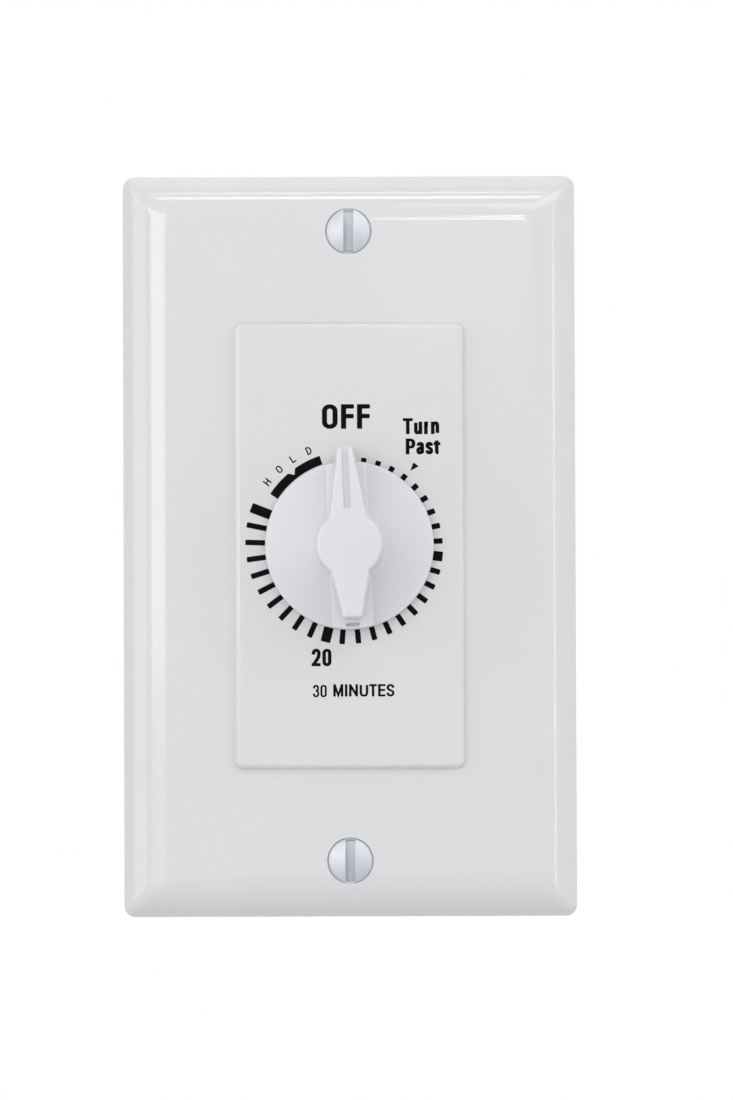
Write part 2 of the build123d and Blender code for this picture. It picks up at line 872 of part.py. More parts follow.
strap_screw_back = strap_front + strap_screw_length
with BuildPart() as frame_pillars:
    add(
        turned(
            (
                (strap_screw_radius, front_inner),
                (pillar_radius, front_inner),
                (pillar_radius, rear_plate_front),
                (pillar_tenon, rear_plate_front),
                (pillar_tenon, rear_plate_back),
                (pillar_head, rear_plate_back),
                (pillar_head - pillar_head_height / 2, rear_plate_back + pillar_head_height),
                (0, rear_plate_back + pillar_head_height),
                (0, strap_screw_back),
                (strap_screw_radius, strap_screw_back),
            ),
            (pillar_x, pillar_z),
        )
    )
    mirror(about=Plane.XY)
    mirror(about=Plane.YZ)
frame_pillars.part.label = "frame_pillars"
export_step(frame_pillars.part, "parts/frame_pillars.step")

with BuildPart() as strap_screws:
    add(
        turned(
            (
                (0, strap_front - strap_head_height),
                (strap_head_radius / 2, strap_front - strap_head_height),
                (strap_head_radius, strap_front - strap_head_height / 2),
                (strap_head_radius, strap_front),
                (strap_screw_radius, strap_front),
                (strap_screw_radius, strap_screw_back),
                (0, strap_screw_back),
            ),
            (pillar_x, pillar_z),
        )
    )
    with BuildSketch(facing(strap_front - strap_head_height / 2)):
        with Locations((pillar_x, pillar_z)):
            Rectangle(2 * strap_head_radius + cut_overrun, box_slot_width)
    extrude(amount=strap_head_height, mode=Mode.SUBTRACT)
    mirror(about=Plane.XY)
    mirror(about=Plane.YZ)
strap_screws.part.label = "strap_screws"
export_step(strap_screws.part, "parts/strap_screws.step")


# Travel stop: a tabbed washer pressed on the shaft, and its post

stop_tab_direction = degrees(atan2(stop_post_xy[1], stop_post_xy[0])) - (360 - turn_range) / 2
with BuildPart() as stop_washer:
    with BuildSketch(facing(stop_back, -stop_tab_direction)):
        Circle(stop_radius)
        Rectangle(stop_reach, stop_tab_width, align=(Align.MIN, Align.CENTER))
        Circle(shaft_radius, mode=Mode.SUBTRACT)
    extrude(amount=stop_thickness)
stop_washer.part.label = "stop_washer"
export_step(stop_washer.part, "parts/stop_washer.step")

with BuildPart() as stop_post:
    with BuildSketch(facing(stop_back, 0.0, stop_post_xy)):
        Circle(stop_post_radius)
    extrude(amount=stop_back)
stop_post.part.label = "stop_post"
export_step(stop_post.part, "parts/stop_post.step")


# Mainspring: a strip hooked in the shaft's slot, wound outwards to its post

half_turns = int(2 * spring_turns)
with BuildPart() as mainspring:
    with BuildLine(facing((spring_front + spring_back) / 2)) as strip_path:
        inner_end = (spring_slot_floor + running_gap, 0)
        Line(inner_end, (spring_start - spring_bend, 0))
        RadiusArc((spring_start - spring_bend, 0), (spring_start, spring_bend), -spring_bend)
        reach = spring_start
        side = 1
        for half in range(half_turns):
            next_reach = reach + spring_pitch / 2
            middle = side * (reach - next_reach) / 2
            swing = (reach + next_reach) / 2
            ThreePointArc(
                (side * reach, spring_bend),
                (middle, spring_bend + side * swing),
                (-side * next_reach, spring_bend),
            )
            reach = next_reach
            side = -side
        Line((side * reach, spring_bend), (side * reach, spring_bend - spring_tail))
        ThreePointArc(
            (side * reach, spring_bend - spring_tail),
            (side * (reach + spring_hook), spring_bend - spring_tail - spring_hook),
            (side * (reach + 2 * spring_hook), spring_bend - spring_tail),
        )
    with BuildSketch(
        Plane(
            origin=(inner_end[0], (spring_front + spring_back) / 2, inner_end[1]),
            x_dir=(0, 0, 1),
            z_dir=(1, 0, 0),
        )
    ):
        Rectangle(strip_thickness, spring_width)
    sweep()
mainspring.part.label = "mainspring"
export_step(mainspring.part, "parts/mainspring.step")

spring_post = turned(
    (
        (0, 0),
        (stop_post_radius, 0),
        (stop_post_radius, front_inner),
        (post_radius, front_inner),
        (post_radius, spring_back + post_gap),
        (0, spring_back + post_gap),
    ),
    spring_post_place,
)
spring_post.label = "spring_post"
export_step(spring_post, "parts/spring_post.step")


# Great wheel on the shaft, held against its collar by a dished washer and a ring

great_rim = great_tooth_size * (great_teeth / 2 - wheel_tooth_shares[3]) - rim_width
great_wheel = wheel_blank(
    toothed_outline(great_teeth, great_tooth_size, wheel_tooth_shares),
    shaft_place,
    great_back,
    great_thickness,
    0.0,
    wheel_seat_radius,
    great_rim,
)
great_wheel.label = "great_wheel"
export_step(great_wheel, "parts/great_wheel.step")

clutch_washer = turned(
    (
        (wheel_seat_radius, ring_front - dish_sheet),
        (dish_radius, great_back),
        (dish_radius, great_back + dish_sheet),
        (wheel_seat_radius, ring_front),
    )
)
clutch_washer.label = "clutch_washer"
export_step(clutch_washer, "parts/clutch_washer.step")

with BuildPart() as clutch_ring:
    with BuildSketch(facing(ring_back)):
        Circle(ring_radius)
        Circle(groove_radius, mode=Mode.SUBTRACT)
        Rectangle(ring_radius, groove_radius, align=(Align.MIN, Align.CENTER), mode=Mode.SUBTRACT)
    extrude(amount=ring_thickness)
clutch_ring.part.label = "clutch_ring"
export_step(clutch_ring.part, "parts/clutch_ring.step")


# Second, third and escape arbors, each with its pinion, and their wheels

second_arbor = arbor(
    second_place,
    second_leaves,
    great_tooth_size,
    second_turn,
    second_pinion_back,
    great_thickness + 2 * pinion_overlap,
)
second_arbor.label = "second_arbor"
export_step(second_arbor, "parts/second_arbor.step")

second_wheel = wheel_blank(
    toothed_outline(second_teeth, second_tooth_size, wheel_tooth_shares),
    second_place,
    second_back,
    second_thickness,
    second_turn,
    arbor_radius,
    second_tooth_size * (second_teeth / 2 - wheel_tooth_shares[3]) - rim_width,
)
second_wheel.label = "second_wheel"
export_step(second_wheel, "parts/second_wheel.step")

third_arbor = arbor(
    third_place,
    third_leaves,
    second_tooth_size,
    third_turn,
    second_back + pinion_overlap,
    second_thickness + 2 * pinion_overlap,
)
third_arbor.label = "third_arbor"
export_step(third_arbor, "parts/third_arbor.step")

third_wheel = wheel_blank(
    toothed_outline(third_teeth, third_tooth_size, wheel_tooth_shares),
    third_place,
    third_back,
    third_thickness,
    third_turn,
    arbor_radius,
    third_tooth_size * (third_teeth / 2 - wheel_tooth_shares[3]) - rim_width,
)
third_wheel.label = "third_wheel"
export_step(third_wheel, "parts/third_wheel.step")

escape_arbor = arbor(
    escape_place,
    escape_leaves,
    third_tooth_size,
    escape_pinion_turn,
    third_back + pinion_overlap,
    third_thickness + 2 * pinion_overlap,
)
escape_arbor.label = "escape_arbor"
export_step(escape_arbor, "parts/escape_arbor.step")


def escape_outline():
    """Fifteen raked teeth, each with a steep face, a small tip and a long back."""
    points = []
    corners = (
        (escape_root_radius, 0.0),
        (escape_tip_radius, 0.0),
        (escape_tip_radius, escape_tip_share),
        (escape_root_radius, escape_back_share),
    )
    for tooth in range(escape_teeth):
        for radius, share in corners:
            angle = 2 * pi / escape_teeth * (tooth + share)
            points.append((radius * cos(angle), radius * sin(angle)))
    return points


with BuildPart() as escape_wheel:
    with BuildSketch(facing(escape_back, escape_wheel_turn, escape_place)):
        with BuildLine():
            Polyline(*escape_outline(), close=True)
        make_face()
        Circle(escape_root_radius - rim_width / 2, mode=Mode.SUBTRACT)
        with BuildSketch(mode=Mode.PRIVATE) as escape_hub:
            Circle(wheel_hub_radius)
            with PolarLocations(0, spokes):
                Rectangle(escape_root_radius - rim_width / 4, spoke_width / 2, align=(Align.MIN, Align.CENTER))
        add(escape_hub.sketch)
        Circle(arbor_radius, mode=Mode.SUBTRACT)
    extrude(amount=escape_thickness)
escape_wheel.part.label = "escape_wheel"
export_step(escape_wheel.part, "parts/escape_wheel.step")


# Verge: its arbor, the pallet lever with two pins, and the balance bar

verge_arbor = arbor(verge_place, 0, 0, 0, 0, 0)
verge_arbor.label = "verge_arbor"
export_step(verge_arbor, "parts/verge_arbor.step")

back_to_wheel = verge_direction + degrees(pi)
pallet_spread = degrees(pi / 2) - pallet_half_span
pallet_places = [
    step_away((0.0, 0.0), back_to_wheel + side * pallet_spread, pallet_arm) for side in (-1, 1)
]
with BuildPart() as pallet_lever:
    with BuildSketch(facing(pallet_back, 0.0, verge_place)):
        Circle(verge_hub_radius)
        for place in pallet_places:
            arm_angle = degrees(atan2(place[1], place[0]))
            with Locations(Location((place[0] / 2, place[1] / 2), arm_angle)):
                Rectangle(pallet_arm, pallet_arm_width)
            with Locations(place):
                Circle(pallet_arm_width / 2 + pallet_pin_radius / 2)
        with Locations(*pallet_places):
            Circle(pallet_pin_radius, mode=Mode.SUBTRACT)
        Circle(arbor_radius, mode=Mode.SUBTRACT)
    extrude(amount=pallet_thickness)
pallet_lever.part.label = "pallet_lever"
export_step(pallet_lever.part, "parts/pallet_lever.step")

with BuildPart() as pallet_pins:
    with BuildSketch(facing(pallet_back, 0.0, verge_place)):
        with Locations(*pallet_places):
            Circle(pallet_pin_radius)
    extrude(amount=pallet_back - escape_front + layer_gap / 2)
pallet_pins.part.label = "pallet_pins"
export_step(pallet_pins.part, "parts/pallet_pins.step")

with BuildPart() as balance_bar:
    with BuildSketch(facing(bar_back, 0.0, verge_place)):
        Rectangle(bar_width, bar_length)
        with Locations((0, bar_length / 2 - bar_end_radius), (0, bar_end_radius - bar_length / 2)):
            Circle(bar_end_radius)
        Circle(verge_hub_radius)
        Circle(arbor_radius, mode=Mode.SUBTRACT)
    extrude(amount=bar_thickness)
balance_bar.part.label = "balance_bar"
export_step(balance_bar.part, "parts/balance_bar.step")


# Insulating sheet behind the rear plate

with BuildPart() as insulator_sheet:
    with BuildSketch(facing(insulator_back)):
        RectangleRounded(2 * frame_half_width, 2 * frame_half_height, frame_corner)
        Circle(rear_pivot_radius + hole_gap, mode=Mode.SUBTRACT)
        with Locations(*pillar_places()):
            Circle(pillar_head + hole_gap, mode=Mode.SUBTRACT)
        with Locations(hold_rivet_place):
            Circle(hold_rivet_radius, mode=Mode.SUBTRACT)
    extrude(amount=insulator_thickness)
insulator_sheet.part.label = "insulator_sheet"
export_step(insulator_sheet.part, "parts/insulator_sheet.step")


# Switch cam: its low place lets the contacts open at OFF

with BuildPart() as switch_cam:
    with BuildSketch(facing(cam_back)):
        Circle(cam_radius)
        with BuildSketch(mode=Mode.PRIVATE) as low_place:
            with BuildLine():
                edge = step_away((0.0, 0.0), cam_low_angle / 2, cam_radius + cut_overrun)
                Line((0, 0), edge)
                Line(edge, (edge[0], -edge[1]))
                Line((edge[0], -edge[1]), (0, 0))
            make_face()
            Circle(cam_low_radius, mode=Mode.SUBTRACT)
        add(low_place.sketch, mode=Mode.SUBTRACT)
        hold_turn = turn_range - degrees(pi / 2)
        hold_side = Location(step_away((0.0, 0.0), hold_turn, cam_radius), hold_turn)
        with Locations(hold_side):
            Rectangle(
                hold_notch_depth * sqrt(2), hold_notch_depth * sqrt(2), rotation=45, mode=Mode.SUBTRACT
            )
    extrude(amount=cam_thickness)
    with BuildSketch(facing(shaft_back)):
        Circle(cam_hub_radius)
    extrude(amount=cam_hub_height)
    with BuildSketch(facing(shaft_back)):
        with BuildSketch(mode=Mode.PRIVATE) as cam_bore:
            Circle(rear_pivot_radius)
            with Locations((0, cam_flat_height)):
                Rectangle(
                    4 * rear_pivot_radius, rear_pivot_radius, align=(Align.CENTER, Align.MIN), mode=Mode.SUBTRACT
                )
        add(cam_bore.sketch)
    extrude(amount=cam_thickness + cam_hub_height, mode=Mode.SUBTRACT)
switch_cam.part.label = "switch_cam"
export_step(switch_cam.part, "parts/switch_cam.step")


# HOLD spring: a leaf on the rear plate whose bump drops into the cam's notch

leaf_front = cam_front + (cam_thickness - hold_leaf_width) / 2
leaf_back = leaf_front + hold_leaf_width
foot_left = hold_foot_place - hold_foot_width / 2
with BuildPart() as hold_spring:
    with BuildSketch(Plane.YZ.offset(foot_left)):
        with BuildLine():
            Polyline(
                (insulator_back, hold_leaf_top),
                (leaf_back, hold_leaf_top),
                (leaf_back, hold_leaf_top - hold_leaf_thickness),
                (insulator_back + hold_leaf_thickness, hold_leaf_top - hold_leaf_thickness),
                (insulator_back + hold_leaf_thickness, hold_leaf_top - hold_foot_height),
                (insulator_back, hold_leaf_top - hold_foot_height),
                close=True,
            )
        make_face()
    extrude(amount=hold_foot_width)
    with BuildSketch(facing(leaf_back)):
        with BuildLine():
            Polyline(
                (foot_left + hold_foot_width, hold_leaf_top),
                (-hold_bump_width / 2, hold_leaf_top),
                (0, hold_leaf_top + hold_bump_height),
                (hold_bump_width / 2, hold_leaf_top),
                (hold_leaf_end, hold_leaf_top),
                (hold_leaf_end, hold_leaf_top - hold_leaf_thickness),
                (hold_bump_width / 2 - hold_leaf_thickness / 2, hold_leaf_top - hold_leaf_thickness),
                (0, hold_leaf_top + hold_bump_height - 2 * hold_leaf_thickness),
                (hold_leaf_thickness / 2 - hold_bump_width / 2, hold_leaf_top - hold_leaf_thickness),
                (foot_left + hold_foot_width, hold_leaf_top - hold_leaf_thickness),
                close=True,
            )
        make_face()
    extrude(amount=hold_leaf_width)
    with BuildSketch(facing(insulator_back + hold_leaf_thickness, 0.0, hold_rivet_place)):
        Circle(hold_rivet_radius)
    extrude(amount=hold_leaf_thickness, mode=Mode.SUBTRACT)
hold_spring.part.label = "hold_spring"
export_step(hold_spring.part, "parts/hold_spring.step")

hold_rivet = turned(
    (
        (0, rear_plate_front - hold_rivet_height),
        (hold_rivet_head, rear_plate_front - hold_rivet_height),
        (hold_rivet_head, rear_plate_front),
        (hold_rivet_radius, rear_plate_front),
        (hold_rivet_radius, insulator_back + hold_leaf_thickness),
        (hold_rivet_head, insulator_back + hold_leaf_thickness),
        (hold_rivet_head, insulator_back + hold_leaf_thickness + hold_rivet_height),
        (0, insulator_back + hold_leaf_thickness + hold_rivet_height),
    ),
    hold_rivet_place,
)
hold_rivet.label = "hold_rivet"
export_step(hold_rivet, "parts/hold_rivet.step")


# Terminals: bent brass strips, each from its contact out to its screw

def terminal_profile(inner):
    """The bent section of a terminal, seen from above: inner leg, step and outer tab."""
    tab_back = tub_inner_back
    return (
        (inner, cam_front),
        (inner + terminal_sheet, cam_front),
        (inner + terminal_sheet, terminal_bend),
        (tab_outer, terminal_bend),
        (tab_outer, tab_back),
        (tab_outer - terminal_sheet, tab_back),
        (tab_outer - terminal_sheet, terminal_bend + terminal_sheet),
        (inner, terminal_bend + terminal_sheet),
    )


tab_middle = (terminal_bend + tub_inner_back + terminal_sheet) / 2
terminals = (
    ("line_terminal", blade_outer, line_terminal_place),
    ("load_terminal", load_inner, contact_place),
)
rivet_places = (line_terminal_place - terminal_width / 4, line_terminal_place + terminal_width / 4)
for name, inner, place in terminals:
    with BuildPart() as terminal:
        with BuildSketch(Plane.XY.offset(place - terminal_width / 2)):
            with BuildLine():
                Polyline(*terminal_profile(inner), close=True)
            make_face()
        extrude(amount=terminal_width)
        with BuildSketch(Plane.YZ.offset(tab_outer)):
            with Locations((tab_middle, place)):
                Circle(terminal_screw_radius)
        extrude(amount=-terminal_sheet, mode=Mode.SUBTRACT)
        with BuildSketch(Plane.YZ.offset(inner)):
            if name == "load_terminal":
                with Locations((terminal_middle, contact_place)):
                    Circle(contact_stem)
            else:
                with Locations(*[(terminal_middle, z) for z in rivet_places]):
                    Circle(blade_rivet_radius)
        extrude(amount=terminal_sheet, mode=Mode.SUBTRACT)
    terminal.part.label = name
    export_step(terminal.part, f"parts/{name}.step")

screw_places = ((tab_middle, line_terminal_place), (tab_middle, contact_place))
with BuildPart() as terminal_screws:
    with BuildSketch(Plane.YZ.offset(tab_outer)):
        with Locations(*screw_places):
            Circle(terminal_head_radius)
    extrude(amount=terminal_head_height)
    head_rims = terminal_screws.faces().sort_by(Axis.X)[-2:].edges()
    chamfer(head_rims, terminal_head_height / 4)
    with BuildSketch(Plane.YZ.offset(tab_outer)):
        with Locations(*screw_places):
            Circle(terminal_screw_radius)
    extrude(amount=-terminal_screw_length)
    with BuildSketch(Plane.YZ.offset(tab_outer + terminal_head_height)):
        with Locations(*screw_places):
            Rectangle(box_slot_width, 2 * terminal_head_radius)
    extrude(amount=-box_slot_depth, mode=Mode.SUBTRACT)
terminal_screws.part.label = "terminal_screws"
export_step(terminal_screws.part, "parts/terminal_screws.step")


# Contact blade: a springy strip riveted to the line terminal, with a bump on the cam

blade_foot = line_terminal_place - terminal_width / 2
with BuildPart() as contact_blade:
    with BuildSketch(Plane.XZ.offset(-cam_back)):
        with BuildLine():
            Polyline(
                (blade_inner, blade_foot),
                (blade_outer, blade_foot),
                (blade_outer, -bump_height - blade_thickness / 2),
                (blade_inner - bump_height + blade_thickness, 0),
                (blade_outer, bump_height + blade_thickness / 2),
                (blade_outer, blade_top),
                (blade_inner, blade_top),
                (blade_inner, bump_height),
                (blade_inner - bump_height, 0),
                (blade_inner, -bump_height),
                close=True,
            )
        make_face()
    extrude(amount=cam_thickness)
    with BuildSketch(Plane.YZ.offset(blade_inner)):
        with Locations(*[(terminal_middle, z) for z in rivet_places]):
            Circle(blade_rivet_radius)
        with Locations((terminal_middle, contact_place)):
            Circle(contact_stem)
    extrude(amount=blade_thickness, mode=Mode.SUBTRACT)
contact_blade.part.label = "contact_blade"
export_step(contact_blade.part, "parts/contact_blade.step")

with BuildPart() as moving_contact:
    with BuildSketch(Plane.YZ.offset(blade_inner)):
        with Locations((terminal_middle, contact_place)):
            Circle(contact_stem)
    extrude(amount=blade_thickness)
    with BuildSketch(Plane.YZ.offset(blade_outer)):
        with Locations((terminal_middle, contact_place)):
            Circle(contact_radius)
    extrude(amount=contact_height)
moving_contact.part.label = "moving_contact"
export_step(moving_contact.part, "parts/moving_contact.step")

with BuildPart() as fixed_contact:
    with BuildSketch(Plane.YZ.offset(load_inner)):
        with Locations((terminal_middle, contact_place)):
            Circle(contact_radius)
    extrude(amount=-contact_height)
    with BuildSketch(Plane.YZ.offset(load_inner)):
        with Locations((terminal_middle, contact_place)):
            Circle(contact_stem)
    extrude(amount=terminal_sheet)
fixed_contact.part.label = "fixed_contact"
export_step(fixed_contact.part, "parts/fixed_contact.step")

with BuildPart() as blade_rivets:
    for z in rivet_places:
        with BuildSketch(Plane.YZ.offset(blade_inner)):
            with Locations((terminal_middle, z)):
                Circle(blade_rivet_radius)
        extrude(amount=blade_thickness + terminal_sheet)
        with BuildSketch(Plane.YZ.offset(blade_inner)):
            with Locations((terminal_middle, z)):
                Circle(blade_rivet_head)
        extrude(amount=-blade_rivet_height)
        with BuildSketch(Plane.YZ.offset(blade_outer + terminal_sheet)):
            with Locations((terminal_middle, z)):
                Circle(blade_rivet_head)
        extrude(amount=blade_rivet_height)
blade_rivets.part.label = "blade_rivets"
export_step(blade_rivets.part, "parts/blade_rivets.step")


# Moulded housing: a tub over movement and switch, with two lugs on the strap

tub_lug_places = ((tub_lug_place, lug_screw_place), (-tub_lug_place, -lug_screw_place))
with BuildPart() as housing:
    with BuildSketch(facing(tub_back)):
        RectangleRounded(2 * tub_half_width, 2 * tub_half_height, tub_corner)
    extrude(amount=tub_back)
    fillet(housing.faces().sort_by(Axis.Y)[-1].edges(), tub_edge_round)
    with BuildSketch(facing(tub_lug_thickness)):
        with Locations(*tub_lug_places):
            Rectangle(tub_lug_width, tub_lug_length)
    extrude(amount=tub_lug_thickness)
    with BuildSketch(facing(tub_inner_back)):
        RectangleRounded(
            2 * (tub_half_width - tub_wall), 2 * (tub_half_height - tub_wall), tub_corner - tub_gap
        )
    extrude(amount=tub_inner_back, mode=Mode.SUBTRACT)
    with BuildSketch(facing(tub_lug_thickness)):
        with Locations(*tub_lug_places):
            Circle(tub_screw_radius + hole_gap)
    extrude(amount=tub_lug_thickness, mode=Mode.SUBTRACT)
    for place in (line_terminal_place, contact_place):
        with BuildSketch(Plane.YZ.offset(tub_half_width)):
            with Locations((terminal_bend + terminal_sheet / 2, place)):
                Rectangle(terminal_sheet + 2 * wire_slot_gap, terminal_width + 2 * wire_slot_gap)
            with Locations((tab_middle, place)):
                Circle(terminal_screw_radius + hole_gap)
        extrude(amount=-tub_wall, mode=Mode.SUBTRACT)
housing.part.label = "housing"
export_step(housing.part, "parts/housing.step")

with BuildPart() as housing_screws:
    for place in tub_lug_places:
        with BuildSketch(facing(tub_lug_thickness, 0.0, place)):
            Circle(tub_screw_radius)
        extrude(amount=tub_lug_thickness + strap_thickness)
        with BuildSketch(facing(tub_lug_thickness + tub_screw_head_height, 0.0, place)):
            Circle(tub_screw_head_radius)
        extrude(amount=tub_screw_head_height)
        with BuildSketch(facing(tub_lug_thickness + tub_screw_head_height, 0.0, place)):
            Rectangle(2 * tub_screw_head_radius, box_slot_width)
        extrude(amount=tub_screw_head_height / 2, mode=Mode.SUBTRACT)
housing_screws.part.label = "housing_screws"
export_step(housing_screws.part, "parts/housing_screws.step")
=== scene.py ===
import json
import logging
from collections.abc import Iterable, Sequence
from dataclasses import dataclass, field, replace
from enum import Enum
from math import atan2, cos, degrees, hypot, pi, radians, sin, sqrt, tan

import bmesh
import bpy
from bpy.types import Material, Mesh, Node, NodeSocket, Object
from mathutils import Matrix, Vector
from mathutils.geometry import tessellate_polygon


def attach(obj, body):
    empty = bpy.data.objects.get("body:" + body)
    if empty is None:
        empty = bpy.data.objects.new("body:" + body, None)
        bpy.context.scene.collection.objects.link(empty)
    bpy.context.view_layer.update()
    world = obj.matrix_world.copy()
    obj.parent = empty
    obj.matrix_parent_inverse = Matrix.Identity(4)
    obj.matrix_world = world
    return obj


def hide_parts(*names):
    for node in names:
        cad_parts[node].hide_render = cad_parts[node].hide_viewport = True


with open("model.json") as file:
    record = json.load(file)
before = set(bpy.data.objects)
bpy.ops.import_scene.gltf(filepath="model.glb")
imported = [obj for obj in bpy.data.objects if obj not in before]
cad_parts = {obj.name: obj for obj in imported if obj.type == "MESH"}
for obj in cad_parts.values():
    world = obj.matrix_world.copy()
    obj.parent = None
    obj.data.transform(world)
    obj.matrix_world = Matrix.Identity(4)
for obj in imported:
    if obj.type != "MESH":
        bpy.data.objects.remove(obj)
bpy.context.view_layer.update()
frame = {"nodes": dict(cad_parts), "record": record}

# Sizes are in millimetres, in the frame of the CAD: X right, Z up, +Y into the wall.

Point2 = tuple[float, float]
Point3 = tuple[float, float, float]
MM = 0.001
LOG = logging.getLogger("timer_switch")
WHITE = (1.0, 1.0, 1.0, 1.0)
MIX_LOW, MIX_HIGH, MIX_RESULT = 6, 7, 2  # A Mix node's colour sockets: their names aren't unique.
CORNERS = ((1, 1), (-1, 1), (-1, -1), (1, -1))
ROUND_STEPS = 6  # The sides of a small rounding.
CLEAR = 1.0  # How far a cutter passes what it cuts.


# Shader and geometry graphs


class Value:
    """An output socket that can be used in Python arithmetic."""

    def __init__(self, graph: "Graph", socket: NodeSocket) -> None:
        """Keeps the socket and the graph that new nodes go into."""
        self.graph = graph
        self.socket = socket

    def _math(self, operation: str, first: object, second: object = 0.0) -> "Value":
        """The output of a new Math node."""
        node = self.graph.node("ShaderNodeMath", {"operation": operation}, {0: first, 1: second})
        return Value(self.graph, node.outputs[0])

    def __add__(self, other: object) -> "Value":
        """self + other."""
        return self._math("ADD", self, other)

    def __radd__(self, other: object) -> "Value":
        """other + self."""
        return self._math("ADD", other, self)

    def __sub__(self, other: object) -> "Value":
        """self - other."""
        return self._math("SUBTRACT", self, other)

    def __rsub__(self, other: object) -> "Value":
        """other - self."""
        return self._math("SUBTRACT", other, self)

    def __mul__(self, other: object) -> "Value":
        """self * other."""
        return self._math("MULTIPLY", self, other)

    def __rmul__(self, other: object) -> "Value":
        """other * self."""
        return self._math("MULTIPLY", other, self)

    def __truediv__(self, other: object) -> "Value":
        """self / other."""
        return self._math("DIVIDE", self, other)

    def __mod__(self, other: object) -> "Value":
        """self % other."""
        return self._math("MODULO", self, other)

    def sine(self) -> "Value":
        """The sine of this value."""
        return self._math("SINE", self)

    def cosine(self) -> "Value":
        """The cosine of this value."""
        return self._math("COSINE", self)

    def above(self, limit: float) -> "Value":
        """One where this value passes the limit, and nothing elsewhere."""
        return self._math("GREATER_THAN", self, limit)

    def larger(self, other: object) -> "Value":
        """The larger of this value and another."""
        return self._math("MAXIMUM", self, other)


class Graph:
    """A node tree with one method that adds any node."""

    def __init__(self, tree: bpy.types.NodeTree) -> None:
        """Starts from an empty tree."""
        self.tree = tree
        tree.nodes.clear()

    def node(self, kind: str, settings: dict | None = None, inputs: dict | None = None) -> Node:
        """Adds a node, makes its settings, then fills its sockets.

        Args:
            kind: The node's type name.
            settings: Properties of the node, or the two stops of its ramp, each a place and a grey.
            inputs: Socket names or numbers, each with a value, a socket or a Value.

        Returns:
            The new node.
        """
        made = self.tree.nodes.new(kind)
        for name, value in (settings or {}).items():
            if name == "stops":
                for element, (place, level) in zip(made.color_ramp.elements, value):
                    element.position = place
                    element.color = (level, level, level, 1.0)
            else:
                setattr(made, name, value)
        for name, value in (inputs or {}).items():
            target = made.inputs[name]
            source = value.socket if isinstance(value, Value) else value
            if isinstance(source, NodeSocket):
                self.tree.links.new(source, target)
            else:
                target.default_value = source
        return made

    def value(self, node: Node, output: int | str = 0) -> Value:
        """One output of a node, ready for arithmetic."""
        return Value(self, node.outputs[output])

    def seen(self) -> Value:
        """Marks the rays that may see the white round the stage.

        Returns:
            1 for rays from the camera and for rays that a surface reflects or lets through.
        """
        path = self.node("ShaderNodeLightPath")
        seen = self.value(path, "Is Camera Ray")
        for kind in ("Is Glossy Ray", "Is Transmission Ray"):
            seen = seen.larger(path.outputs[kind])
        return seen


@dataclass(frozen=True)
class Pattern:
    """Noise: its features' width in millimetres, its detail and its stretch along the axes."""

    size: float
    detail: float
    stretch: Point3 | None = None


class Surface(Graph):
    """A material's graph, with the steps that several finishes share."""

    def __init__(self, name: str) -> None:
        """Makes the material and reads Object coordinates.

        Args:
            name: The material's name.
        """
        self.material = bpy.data.materials.new(name)
        self.material.use_nodes = True
        super().__init__(self.material.node_tree)
        self.place = self.node("ShaderNodeTexCoord").outputs["Object"]

    def stretched(self, scale: Point3) -> NodeSocket:
        """Object coordinates stretched along the axes."""
        return self.node("ShaderNodeMapping", inputs={"Vector": self.place, "Scale": scale}).outputs[0]

    def noise(self, pattern: Pattern) -> Value:
        """Lays a pattern over the surface.

        Args:
            pattern: The pattern.

        Returns:
            Its grey level.
        """
        place = self.stretched(pattern.stretch) if pattern.stretch else self.place
        inputs = {"Vector": place, "Scale": 1 / (pattern.size * MM), "Detail": pattern.detail}
        return self.value(self.node("ShaderNodeTexNoise", inputs=inputs), "Fac")

    def ramp(self, source: Value, start: float, end: float) -> Value:
        """Nothing below the start, rising to one at the end."""
        settings = {"stops": ((start, 0.0), (end, 1.0))}
        return self.value(self.node("ShaderNodeValToRGB", settings, {"Fac": source}))

    def blend(self, factor: Value, low: Point3, high: Point3) -> NodeSocket:
        """A colour between two others."""
        inputs = {"Factor": factor, MIX_LOW: (*low, 1.0), MIX_HIGH: (*high, 1.0)}
        return self.node("ShaderNodeMix", {"data_type": "RGBA"}, inputs).outputs[MIX_RESULT]

    def bump(self, height: Value, strength: float, distance: float) -> NodeSocket:
        """A normal from a height, with the distance in millimetres."""
        inputs = {"Height": height, "Strength": strength, "Distance": distance * MM}
        return self.node("ShaderNodeBump", inputs=inputs).outputs[0]

    def finish(self, **sockets: object) -> Material:
        """Adds the Principled shader and the output.

        Args:
            sockets: Its sockets, with underscores in place of spaces.

        Returns:
            The finished material.
        """
        inputs = {name.replace("_", " "): value for name, value in sockets.items()}
        shader = self.node("ShaderNodeBsdfPrincipled", inputs=inputs)
        self.node("ShaderNodeOutputMaterial", inputs={"Surface": shader.outputs[0]})
        return self.material


# Finishes


def toned(colour: Point3, factor: float) -> Point3:
    """A colour made darker or lighter."""
    return tuple(c * factor for c in colour)


